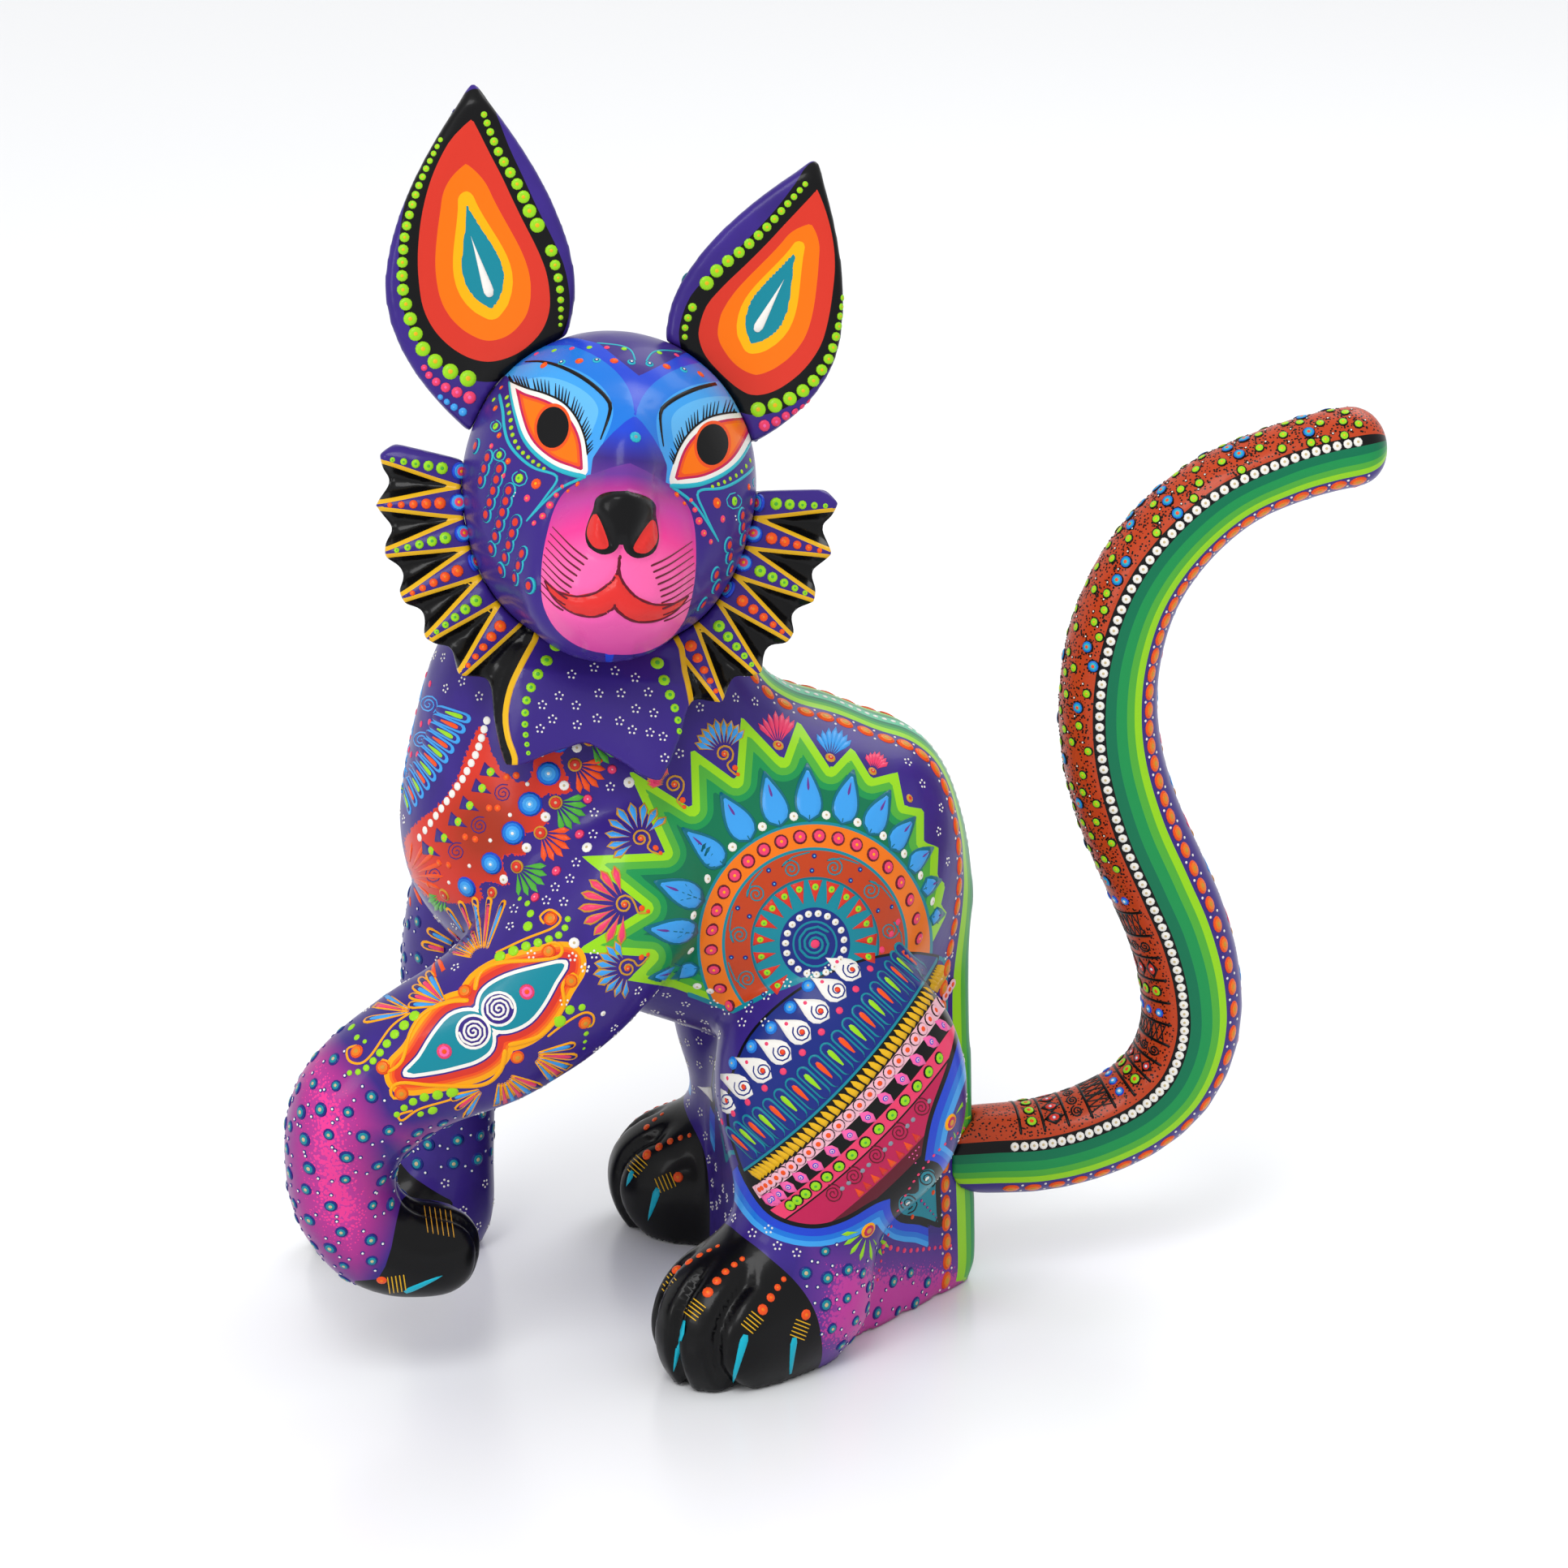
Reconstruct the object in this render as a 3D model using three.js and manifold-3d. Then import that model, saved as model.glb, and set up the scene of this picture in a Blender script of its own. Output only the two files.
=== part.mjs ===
// A carved and painted copal-wood lynx, sitting, with its head turned over its left side and one
// foreleg raised. Millimetres, +Z up. The lynx looks along -Y before its head turns, and its left
// side is +X. The origin is the middle of the flat patch of wood that it sits on.
import * as THREE from "three";
import { mergeVertices } from "three/addons/utils/BufferGeometryUtils.js";
import Module from "manifold-3d";

const wasm = await Module();
wasm.setup();

// ---- Driving dimensions -------------------------------------------------------------------------

const seamGap = 0.8; // between two carved pieces that are glued or pushed together
const pegClearance = 0.3; // around every peg and dowel, on the radius
const pegEndRoom = 1; // between a peg's end and the bottom of its hole

const chestRadius = 41;
const chestCentre = [0, -73, 134];
const barrelRadius = 46;
const barrelCentre = [0, -20, 118.5];
const neckRadii = [33, 42, 36];
const neckCentre = [0, -65, 166];

const spineY = 39.5; // where the sharp ridge of the rump meets the ground
const ridgeLean = 3; // how far the ridge leans forward by the height of the loin
const loinHeight = 95; // above this the ridge curls forward over the back
const backCurlY = 58.5;
const backCurlZ = 77;
const rumpSlope = 48.4; // degrees in plan between each side of the rump and the spine plane
const rumpHalfWidth = 43;
const rumpFrontY = -30;
const bellyHeight = 62; // above this the front of the rump slopes back into the barrel

const headSize = { width: 73, height: 76, depth: 70 };
const headCentre = new THREE.Vector3(14, -62, 222);
const headYaw = 85; // degrees: how far the head turns to its left
const headPitch = 14; // degrees: how far it looks up
const headRoll = 7.4; // degrees: how far its left ear drops
const muzzleRadii = [21.5, 19, 19];
const muzzleDrop = 21;

const rightEar = { length: 77, halfWidth: 23.5, lean: -8, baseX: -33, baseZ: 21 };
const leftEar = { length: 69, halfWidth: 21.5, lean: 14, baseX: 26, baseZ: 21 };
const earHalfThickness = 4.6;
const earTipHalfWidth = 0.8;
const earRoot = 12; // how far an ear reaches below its base, where the head's curve cuts it
const earCup = 4; // how deep the ear's front is dished
const earBaseY = 4; // behind the middle of the head

const ruff = {
  raysPerSide: 6,
  firstRayAngle: 3.5, // degrees above the horizontal
  rayStep: 11.8, // degrees from ray to ray, downwards
  innerRadius: 26,
  outerRadius: 57.5,
  rayDepth: 4.2, // how far a valley's edge lies inside the tips
  halfThickness: 4.4,
  fluteDepth: 2.2,
  backSet: 6, // how far behind the head's middle the ring starts
  bibAngle: 76, // degrees below the horizontal
  bibRadius: 73,
  archRadius: 60,
};

const forelegRadii = { shoulder: 23, elbow: 20, wrist: 14, raisedPaw: 12.5 };
const shoulderX = 33; // on both sides
const raisedForelegX = 43;
const standingForelegX = -46;
const standingForelegRadius = 13;
const raisedShoulder = [-62, 126]; // Y, Z
const standingShoulder = [-76, 126];
const forepawRadii = [16, 25, 16];

const thighRadii = [24, 32, 38];
const thighCentre = [37, -7, 71];
const thighTilt = 14; // degrees
const shinRadius = 18;
const hindPawRadii = [20, 26, 21];
const leftHindPaw = { centre: [47, -35, 13], splay: 38 }; // degrees that the toes turn outwards
const rightHindPaw = { centre: [46, -30, 13], splay: 24 };

const tailRadius = { base: 10.8, middle: 13.4, tip: 10.2 };
const tailStartGap = 0.8;
const tailRings = 40;
const tailSides = 18;

const dowel = { radius: 4, length: 20 };
const neckDowel = { radius: 6, length: 44 };
const earPeg = { radius: 2.5, length: 26 };
const earPegLean = 27; // degrees outwards from the head's upright, and the way an ear pulls off
const tailPeg = { radius: 5, length: 36 };
const pegSides = 24;

const hollow = { torso: 14, rump: 12, foreleg: 6, hindLeg: 9, head: 7 }; // where carved masses run together
const underGround = 7;
const cell = { torso: 10.2, head: 7.2, leg: 7.8 }; // the facets' size

// ---- Distance fields ----------------------------------------------------------------------------
// A field is a function of a point that is negative inside the solid and about the distance outside.

const clamp01 = (t) => Math.min(Math.max(t, 0), 1);
const rad = THREE.MathUtils.degToRad;

function blendTwo(a, b, k) {
  const h = Math.max(k - Math.abs(a - b), 0) / k;
  return Math.min(a, b) - (h * h * k) / 4;
}

const blend = (k, ...fields) => (x, y, z) =>
  fields.map((f) => f(x, y, z)).reduce((a, b) => blendTwo(a, b, k));

const common = (k, ...fields) => (x, y, z) =>
  -fields.map((f) => -f(x, y, z)).reduce((a, b) => blendTwo(a, b, k));

const grown = (field, by) => (x, y, z) => field(x, y, z) - by;

function ellipsoid([cx, cy, cz], [rx, ry, rz]) {
  return (x, y, z) => {
    const [px, py, pz] = [x - cx, y - cy, z - cz];
    const k0 = Math.hypot(px / rx, py / ry, pz / rz);
    const k1 = Math.hypot(px / rx ** 2, py / ry ** 2, pz / rz ** 2);
    return k1 === 0 ? -Math.min(rx, ry, rz) : (k0 * (k0 - 1)) / k1;
  };
}

// A round limb along a smooth curve through stations [x, y, z, radius].
function limb(stations, steps = 6) {
  const curve = new THREE.CatmullRomCurve3(stations.map(([x, y, z]) => new THREE.Vector3(x, y, z)));
  const count = (stations.length - 1) * steps;
  const spine = [];
  for (let i = 0; i <= count; i++) {
    const t = (i / count) * (stations.length - 1);
    const low = Math.min(Math.floor(t), stations.length - 2);
    const r = THREE.MathUtils.lerp(stations[low][3], stations[low + 1][3], t - low);
    spine.push([...curve.getPoint(i / count).toArray(), r]);
  }
  return (x, y, z) => {
    let best = Infinity;
    for (let i = 0; i < count; i++) {
      const [ax, ay, az, ar] = spine[i];
      const [bx, by, bz, br] = spine[i + 1];
      const [dx, dy, dz] = [bx - ax, by - ay, bz - az];
      const along = (x - ax) * dx + (y - ay) * dy + (z - az) * dz;
      const t = clamp01(along / (dx * dx + dy * dy + dz * dz));
      const away = Math.hypot(x - ax - t * dx, y - ay - t * dy, z - az - t * dz);
      best = Math.min(best, away - ar - t * (br - ar));
    }
    return best;
  };
}

// The field seen from a frame that the matrix carries into the field's own frame.
function seenFrom(matrix, field) {
  const m = matrix.elements;
  return (x, y, z) =>
    field(
      m[0] * x + m[4] * y + m[8] * z + m[12],
      m[1] * x + m[5] * y + m[9] * z + m[13],
      m[2] * x + m[6] * y + m[10] * z + m[14],
    );
}

const turned = (centre, euler, field) => {
  const place = new THREE.Matrix4().makeRotationFromEuler(euler).setPosition(...centre);
  return seenFrom(place.invert(), field);
};

const mirrored = (field) => (x, y, z) => field(-x, y, z);

// ---- From a field to a closed mesh (surface nets) -----------------------------------------------

const cornerOffsets = [0, 1, 2, 3, 4, 5, 6, 7].map((i) => [i & 1, (i >> 1) & 1, (i >> 2) & 1]);
const cellEdges = [];
for (let a = 0; a < 8; a++) {
  for (const bit of [1, 2, 4]) {
    if (!(a & bit)) cellEdges.push([a, a | bit]);
  }
}

// Slides a point along the field's slope on to the surface, by no more than the reach.
function settle(field, p, reach) {
  const step = 0.05;
  const start = [...p];
  for (let turn = 0; turn < 3; turn++) {
    const here = field(...p);
    if (Math.abs(here) > reach * 2) break;
    const slope = [0, 1, 2].map((axis) => {
      const q = [...p];
      q[axis] += step;
      return (field(...q) - here) / step;
    });
    const steep = slope[0] ** 2 + slope[1] ** 2 + slope[2] ** 2;
    if (steep < 1e-6) break;
    for (let axis = 0; axis < 3; axis++) {
      const moved = p[axis] - (here * slope[axis]) / steep;
      p[axis] = THREE.MathUtils.clamp(moved, start[axis] - reach, start[axis] + reach);
    }
  }
  return p;
}

function surfaceOf(field, low, high, size) {
  const n = [0, 1, 2].map((axis) => Math.ceil((high[axis] - low[axis]) / size) + 1);
  const at = (i, j, k) => (k * n[1] + j) * n[0] + i;
  const values = new Float64Array(n[0] * n[1] * n[2]);
  for (let k = 0; k < n[2]; k++) {
    for (let j = 0; j < n[1]; j++) {
      for (let i = 0; i < n[0]; i++) {
        const value = field(low[0] + i * size, low[1] + j * size, low[2] + k * size);
        const border = [i, j, k].some((g, axis) => g === 0 || g === n[axis] - 1);
        values[at(i, j, k)] = border ? Math.max(value, size / 2) : value;
      }
    }
  }
  const points = [];
  const pointOf = new Map();
  for (let k = 0; k + 1 < n[2]; k++) {
    for (let j = 0; j + 1 < n[1]; j++) {
      for (let i = 0; i + 1 < n[0]; i++) {
        const corner = cornerOffsets.map(([a, b, c]) => values[at(i + a, j + b, k + c)]);
        const sum = [0, 0, 0];
        let crossings = 0;
        for (const [a, b] of cellEdges) {
          if (corner[a] < 0 === corner[b] < 0) continue;
          const t = corner[a] / (corner[a] - corner[b]);
          for (let axis = 0; axis < 3; axis++) {
            sum[axis] += THREE.MathUtils.lerp(cornerOffsets[a][axis], cornerOffsets[b][axis], t);
          }
          crossings++;
        }
        if (!crossings) continue;
        const p = [i, j, k].map((g, axis) => low[axis] + (g + sum[axis] / crossings) * size);
        pointOf.set(at(i, j, k), points.length);
        points.push(settle(field, p, size * 0.45));
      }
    }
  }
  const index = [];
  const quad = (a, b, c, d, flip) => {
    const [p, q, r, s] = [a, b, c, d].map((g) => pointOf.get(g));
    const span = (u, v) => Math.hypot(...points[u].map((value, axis) => value - points[v][axis]));
    const faces = span(p, r) < span(q, s) ? [p, q, r, p, r, s] : [q, r, s, q, s, p];
    index.push(...(flip ? faces.reverse() : faces));
  };
  for (let k = 0; k + 1 < n[2]; k++) {
    for (let j = 0; j + 1 < n[1]; j++) {
      for (let i = 0; i + 1 < n[0]; i++) {
        const inside = values[at(i, j, k)] < 0;
        if (j && k && inside !== values[at(i + 1, j, k)] < 0) {
          quad(at(i, j - 1, k - 1), at(i, j, k - 1), at(i, j, k), at(i, j - 1, k), !inside);
        }
        if (i && k && inside !== values[at(i, j + 1, k)] < 0) {
          quad(at(i - 1, j, k - 1), at(i - 1, j, k), at(i, j, k), at(i, j, k - 1), !inside);
        }
        if (i && j && inside !== values[at(i, j, k + 1)] < 0) {
          quad(at(i - 1, j - 1, k), at(i, j - 1, k), at(i, j, k), at(i - 1, j, k), !inside);
        }
      }
    }
  }
  const geometry = new THREE.BufferGeometry();
  geometry.setAttribute("position", new THREE.Float32BufferAttribute(points.flat(), 3));
  geometry.setIndex(index);
  return geometry;
}

// ---- Solids -------------------------------------------------------------------------------------

function solid(geometry) {
  const bare = geometry.clone();
  bare.deleteAttribute("normal");
  bare.deleteAttribute("uv");
  const merged = mergeVertices(bare, 1e-4);
  return new wasm.Manifold(
    new wasm.Mesh({
      numProp: 3,
      vertProperties: new Float32Array(merged.attributes.position.array),
      triVerts: new Uint32Array(merged.index.array),
    }),
  );
}

function geometryOf(manifold) {
  const mesh = manifold.getMesh();
  const geometry = new THREE.BufferGeometry();
  geometry.setAttribute("position", new THREE.BufferAttribute(mesh.vertProperties, 3));
  geometry.setIndex(new THREE.BufferAttribute(mesh.triVerts, 1));
  return geometry;
}

// A closed skin through a row of loops, with a fan over the first and the last. Seen from the end
// that the row starts at, the loops run clockwise.
function loft(loops) {
  const sides = loops[0].length;
  const sum = (loop) => loop.reduce((total, p) => total.add(p), new THREE.Vector3());
  const middle = (loop) => sum(loop).divideScalar(sides);
  const last = (loops.length - 1) * sides;
  const points = [...loops.flat(), middle(loops[0]), middle(loops.at(-1))].flatMap((p) => p.toArray());
  const index = [];
  for (let side = 0; side < sides; side++) {
    const next = (side + 1) % sides;
    for (let start = 0; start < last; start += sides) {
      const [a, b, c, d] = [start + side, start + next, start + sides + side, start + sides + next];
      index.push(a, b, d, a, d, c);
    }
    index.push(last + sides, next, side, last + sides + 1, last + side, last + next);
  }
  const geometry = new THREE.BufferGeometry();
  geometry.setAttribute("position", new THREE.Float32BufferAttribute(points, 3));
  geometry.setIndex(index);
  return geometry;
}

// Everything below the ground plane.
const groundBlock = solid(new THREE.BoxGeometry(800, 800, 100).translate(0, 0, -50));

// A round bar from one point to another.
function bar(from, to, radius) {
  const way = new THREE.Vector3().subVectors(to, from);
  const turn = new THREE.Quaternion().setFromUnitVectors(
    new THREE.Vector3(0, 1, 0),
    way.clone().normalize(),
  );
  const middle = new THREE.Vector3().addVectors(from, to).multiplyScalar(0.5);
  return new THREE.CylinderGeometry(radius, radius, way.length(), pegSides)
    .applyQuaternion(turn)
    .translate(middle.x, middle.y, middle.z);
}

// A peg centred on a point along a direction, and the hole that takes it.
function pegAt(centre, direction, size) {
  const half = direction.clone().normalize().multiplyScalar(size.length / 2);
  const room = direction.clone().normalize().multiplyScalar(size.length / 2 + pegEndRoom);
  const ends = (reach) => [centre.clone().sub(reach), centre.clone().add(reach)];
  return {
    pin: bar(...ends(half), size.radius),
    hole: solid(bar(...ends(room), size.radius + pegClearance)),
  };
}

// ---- Shapes of the carved pieces ----------------------------------------------------------------

const slope = { across: Math.cos(rad(90 - rumpSlope)), back: Math.sin(rad(90 - rumpSlope)) };

function rumpField(x, y, z) {
  const lean = ridgeLean * clamp01(z / loinHeight);
  const side = slope.across * Math.abs(x) + slope.back * (y - spineY + lean);
  const curlCentreY = spineY - ridgeLean - backCurlY;
  const rise = Math.max(z - loinHeight, 0) / backCurlZ;
  const over = Math.hypot((y - curlCentreY) / backCurlY, rise, (rise * x) / rumpHalfWidth);
  const curl = z > loinHeight ? (over - 1) * backCurlY : side;
  const walls = Math.max(Math.abs(x) - rumpHalfWidth, rumpFrontY - y + Math.max(z - bellyHeight, 0) / 2);
  const softening = 0.1 + 8 * Math.min(rise * 3, 1); // the ridge is sharp below the loin
  const ridge = -blendTwo(-side, -curl, softening);
  return -blendTwo(-ridge, -walls, hollow.rump);
}

// The torso goes a little below the ground, where the ground block cuts it off.
const torsoField = common(
  1,
  (x, y, z) => -underGround - z,
  blend(
    hollow.torso,
    limb([[...chestCentre, chestRadius], [...barrelCentre, barrelRadius]]),
    ellipsoid(neckCentre, neckRadii),
    common(6, rumpField, (x, y, z) => z - loinHeight - backCurlZ),
  ),
);

const raisedForelegField = limb([
  [shoulderX, ...raisedShoulder, forelegRadii.shoulder],
  [raisedForelegX - 4, -80, 107, forelegRadii.shoulder - 1],
  [raisedForelegX, -98, 95, forelegRadii.elbow],
  [raisedForelegX + 2, -117, 87, forelegRadii.elbow - 2.5],
  [raisedForelegX + 2, -131, 76, forelegRadii.wrist + 2.5],
  [raisedForelegX, -136, 61, forelegRadii.wrist - 0.5],
  [raisedForelegX - 2, -133, 46, forelegRadii.wrist - 1],
  [raisedForelegX - 3, -124, 36, forelegRadii.raisedPaw],
  [raisedForelegX - 4, -112, 34, forelegRadii.raisedPaw],
]);

const standingForelegField = blend(
  hollow.foreleg,
  limb([
    [-shoulderX, ...standingShoulder, forelegRadii.shoulder],
    [standingForelegX + 7, -90, 94, standingForelegRadius + 6],
    [standingForelegX, -97, 58, standingForelegRadius],
    [standingForelegX, -99, 12, standingForelegRadius - 1],
  ]),
  ellipsoid([standingForelegX, -113, 8], forepawRadii),
);

// A hind leg on the left side; the right one is its mirror image with its own paw.
const hindLegField = ({ centre, splay }) =>
  blend(
    hollow.hindLeg,
    turned(thighCentre, new THREE.Euler(rad(thighTilt), 0, 0), ellipsoid([0, 0, 0], thighRadii)),
    limb([
      [thighCentre[0] + 3, thighCentre[1] - 8, 58, shinRadius],
      [centre[0] - 6, centre[1] + 17, 16, shinRadius],
    ]),
    turned(centre, new THREE.Euler(0, 0, rad(splay)), ellipsoid([0, 0, 0], hindPawRadii)),
  );

// The head in its own frame: its middle at the origin, -Y forward, +X to the lynx's left.
const halfHead = [headSize.width / 2, headSize.depth / 2, headSize.height / 2];
const headField = blend(
  hollow.head,
  ellipsoid([0, 2, 3], [halfHead[0], halfHead[1], halfHead[2]]),
  ellipsoid([0, -7, -12], [halfHead[0] * 0.84, halfHead[1] * 0.8, halfHead[2] * 0.68]),
  ellipsoid([0, 8 - halfHead[1], -muzzleDrop], muzzleRadii),
  limb([
    [0, 6 - halfHead[1], 16, 9],
    [0, -3 - halfHead[1], -2, 8],
  ]),
);

// The ruff's ring in the head's frame: 0 degrees is sideways, 90 is straight down.
function ruffEdge(down) {
  const { raysPerSide, firstRayAngle, rayStep, bibAngle, bibRadius, archRadius } = ruff;
  const lastRay = rayStep * (raysPerSide - 1) - firstRayAngle;
  const bibStart = (lastRay + bibAngle) / 2;
  if (down > bibAngle) {
    return THREE.MathUtils.lerp(bibRadius, archRadius, Math.sqrt((down - bibAngle) / (90 - bibAngle)));
  }
  if (down > bibStart) {
    const t = (down - bibStart) / (bibAngle - bibStart);
    return THREE.MathUtils.lerp(ruff.outerRadius, bibRadius, t);
  }
  const phase = ((down + firstRayAngle) / rayStep) * 2 * Math.PI;
  return ruff.outerRadius - (ruff.rayDepth * (1 - Math.cos(phase))) / 2;
}

// One slice of the ruff at an angle, as a loop of points: out along the rear, back along the front.
function ruffSlice(angle) {
  const down = Math.min(angle, 180 - angle);
  const phase = ((down + ruff.firstRayAngle) / ruff.rayStep) * 2 * Math.PI;
  const onBib = down > ruff.bibAngle - ruff.rayStep;
  const fluted = onBib ? 0 : (ruff.fluteDepth * (1 - Math.cos(phase))) / 2;
  const flare = 0.05 + 0.26 * Math.max(0, Math.sin(rad(down)));
  const edge = ruffEdge(down);
  const at = (share, side) => {
    const radius = THREE.MathUtils.lerp(ruff.innerRadius, edge, share);
    const thinning = 1 - 0.45 * share ** 3;
    const flute = side < 0 ? fluted * share : 0;
    const y = ruff.backSet - radius * flare + side * (ruff.halfThickness - flute) * thinning;
    return new THREE.Vector3(radius * Math.cos(rad(angle)), y, -radius * Math.sin(rad(angle)));
  };
  const shares = [0, 0.35, 0.7, 0.92, 1];
  return [...shares.map((share) => at(share, 1)), ...shares.reverse().map((share) => at(share, -1))];
}

function ruffGeometry() {
  const slices = 62;
  const first = -ruff.firstRayAngle - ruff.rayStep / 3;
  const angleAt = (i) => THREE.MathUtils.lerp(first, 180 - first, i / slices);
  return loft(Array.from({ length: slices + 1 }, (_, i) => ruffSlice(angleAt(i))));
}

// An ear in its own frame: base at the origin, tip along +Z, its dished front towards -Y.
function earGeometry({ length, halfWidth }) {
  const widest = 0.36;
  const baseShare = 0.5;
  const rings = 20;
  const sides = 18;
  const ringAt = (i) => {
    const z = THREE.MathUtils.lerp(-earRoot, length, i / rings);
    const t = z / length;
    const above = clamp01((t - widest) / (1 - widest));
    const below = (widest - Math.min(t, widest)) / widest;
    const share = 1 - above ** 1.7 - (1 - baseShare) * below ** 2;
    const halfHere = Math.max(halfWidth * share, earTipHalfWidth);
    const thick = Math.min(earHalfThickness * (1 - 0.25 * clamp01(t)), halfHere);
    return Array.from({ length: sides }, (_, side) => {
      const angle = (side / sides) * 2 * Math.PI;
      const across = Math.cos(angle);
      const dish = earCup * (1 - across ** 2) * Math.min(1, halfHere / halfWidth);
      const through = Math.sign(Math.sin(angle)) * Math.abs(Math.sin(angle)) ** 0.6;
      return new THREE.Vector3(halfHere * across, dish + thick * through, z);
    });
  };
  return loft(Array.from({ length: rings + 1 }, (_, i) => ringAt(i)));
}

// ---- Cutting and fitting ------------------------------------------------------------------------

const bodyBox = [[-80, -160, -22], [80, 60, 216]];
// A cell of the torso's grid straddles the spine plane, so that the ridge gets points of its own.
const torsoBox = [[-7.5 * cell.torso, -160, -22], [80, 60, 216]];
const headBox = [[-60, -72, -70], [60, 52, 60]];
const ruffBox = [[-72, -52, -90], [72, 36, 30]];

const carve = (field, box, size) => solid(surfaceOf(field, box[0], box[1], size));
const toHead = (field) => seenFrom(headPlace, field);

// The biggest loose piece, so that a cut leaves no chips.
const whole = (manifold) => manifold.decompose().sort((a, b) => b.volume() - a.volume())[0];

const headPlace = new THREE.Matrix4()
  .makeRotationFromEuler(new THREE.Euler(rad(-headPitch), rad(headRoll), rad(headYaw), "ZXY"))
  .setPosition(headCentre);

const legFields = {
  left_foreleg: raisedForelegField,
  right_foreleg: standingForelegField,
  left_hind_leg: hindLegField(leftHindPaw),
  right_hind_leg: mirrored(hindLegField(rightHindPaw)),
};

// Each leg is held by dowels that cross its seam square to the flank.
const shoulderSeamX = shoulderX - forelegRadii.shoulder;
const hipSeamX = thighCentre[0] - thighRadii[0];
const shinSeamX = thighCentre[0] + 3 - shinRadius;
const [, thighY, thighZ] = thighCentre;
const shinDowelHeight = 32;
const dowelSpots = {
  left_shoulder_dowel: ["left_foreleg", shoulderSeamX, raisedShoulder[0], raisedShoulder[1] + 4],
  right_shoulder_dowel: ["right_foreleg", -shoulderSeamX, standingShoulder[0], standingShoulder[1] - 4],
  left_hip_dowel: ["left_hind_leg", hipSeamX, thighY, thighZ + 4],
  left_shin_dowel: ["left_hind_leg", shinSeamX, thighY - 8, shinDowelHeight],
  right_hip_dowel: ["right_hind_leg", -hipSeamX, thighY, thighZ + 4],
  right_shin_dowel: ["right_hind_leg", -shinSeamX, thighY - 8, shinDowelHeight],
};
const sideways = new THREE.Vector3(1, 0, 0);
const dowels = Object.entries(dowelSpots).map(([name, [leg, ...spot]]) => ({
  name,
  leg,
  ...pegAt(new THREE.Vector3(...spot), sideways, dowel),
}));

// The neck dowel is upright in the world; its hole in the head is turned into the head's frame.
const neckPeg = pegAt(
  new THREE.Vector3(neckCentre[0] + 4, neckCentre[1], neckCentre[2] + neckRadii[2] - 2),
  new THREE.Vector3(0, 0, 1),
  neckDowel,
);

// ---- Tail ---------------------------------------------------------------------------------------

// The tail's middle line in the spine plane, Y then Z, from inside the rump to the tip.
const tailLine = [
  [22, 35], [38, 35], [53, 35], [67, 38], [80, 44], [89, 53], [93.5, 66], [93, 80], [89, 95],
  [83, 109], [76, 125], [71, 142], [69.5, 157], [71, 172], [76, 187], [85, 200], [98, 211], [113, 217.5],
  [124, 220.5], [133, 222],
];
const tailCurve = new THREE.CatmullRomCurve3(tailLine.map(([y, z]) => new THREE.Vector3(0, y, z)));

function tailRadiusAt(t) {
  const swell = Math.sin(Math.PI * clamp01(t / 0.9)) ** 0.7;
  const taper = THREE.MathUtils.lerp(tailRadius.base, tailRadius.tip, t);
  return taper + (tailRadius.middle - tailRadius.base) * swell;
}

function tailGeometry() {
  const capRings = 5;
  const capBulge = 0.8; // the tip's length beyond the line, as a share of its radius
  const ringAt = (ring) => {
    const t = Math.min(ring / tailRings, 1);
    const along = tailCurve.getTangentAt(t);
    const up = new THREE.Vector3().crossVectors(along, new THREE.Vector3(1, 0, 0));
    const cap = (Math.max(ring - tailRings, 0) / (capRings + 0.5)) * (Math.PI / 2);
    const radius = tailRadiusAt(t) * Math.cos(cap);
    const beyond = tailRadiusAt(1) * capBulge * Math.sin(cap);
    const centre = tailCurve.getPointAt(t).addScaledVector(along, beyond);
    return Array.from({ length: tailSides }, (_, side) => {
      const angle = (side / tailSides) * 2 * Math.PI;
      const p = centre.clone().addScaledVector(up, radius * Math.sin(angle));
      p.x += radius * Math.cos(angle);
      return p;
    });
  };
  return loft(Array.from({ length: tailRings + capRings + 1 }, (_, ring) => ringAt(ring)));
}

const tailPin = pegAt(
  new THREE.Vector3(0, spineY - 5, tailLine[1][1]),
  new THREE.Vector3(0, 1, 0),
  tailPeg,
);

// ---- The pieces ---------------------------------------------------------------------------------

const lynx = new THREE.Group();
const head = new THREE.Group();
head.applyMatrix4(headPlace);
lynx.add(head);

const paint = {
  violet: [0x3b1f86, 0.3],
  magenta: [0x8a2f9e, 0.3],
  blue: [0x1f63d2, 0.28],
  black: [0x0b0a0e, 0.25],
  orange: [0xe8501c, 0.3],
  green: [0x1f8f63, 0.3],
  wood: [0xd9b98a, 0.75],
};

function addPiece(parent, name, geometry, [color, roughness]) {
  const material = new THREE.MeshStandardMaterial({ color, roughness, metalness: 0 });
  const flat = geometry.index ? geometry.toNonIndexed() : geometry;
  flat.computeVertexNormals();
  const mesh = new THREE.Mesh(flat, material);
  mesh.name = name;
  parent.add(mesh);
}

const torsoBlank = carve(torsoField, torsoBox, cell.torso).subtract(groundBlock);

function addBody() {
  let torso = torsoBlank;
  for (const field of Object.values(legFields)) {
    torso = torso.subtract(carve(grown(field, seamGap), bodyBox, cell.leg));
  }
  for (const { hole } of dowels) torso = torso.subtract(hole);
  torso = torso.subtract(neckPeg.hole).subtract(tailPin.hole);
  addPiece(lynx, "torso", geometryOf(whole(torso)), paint.violet);
}

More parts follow.
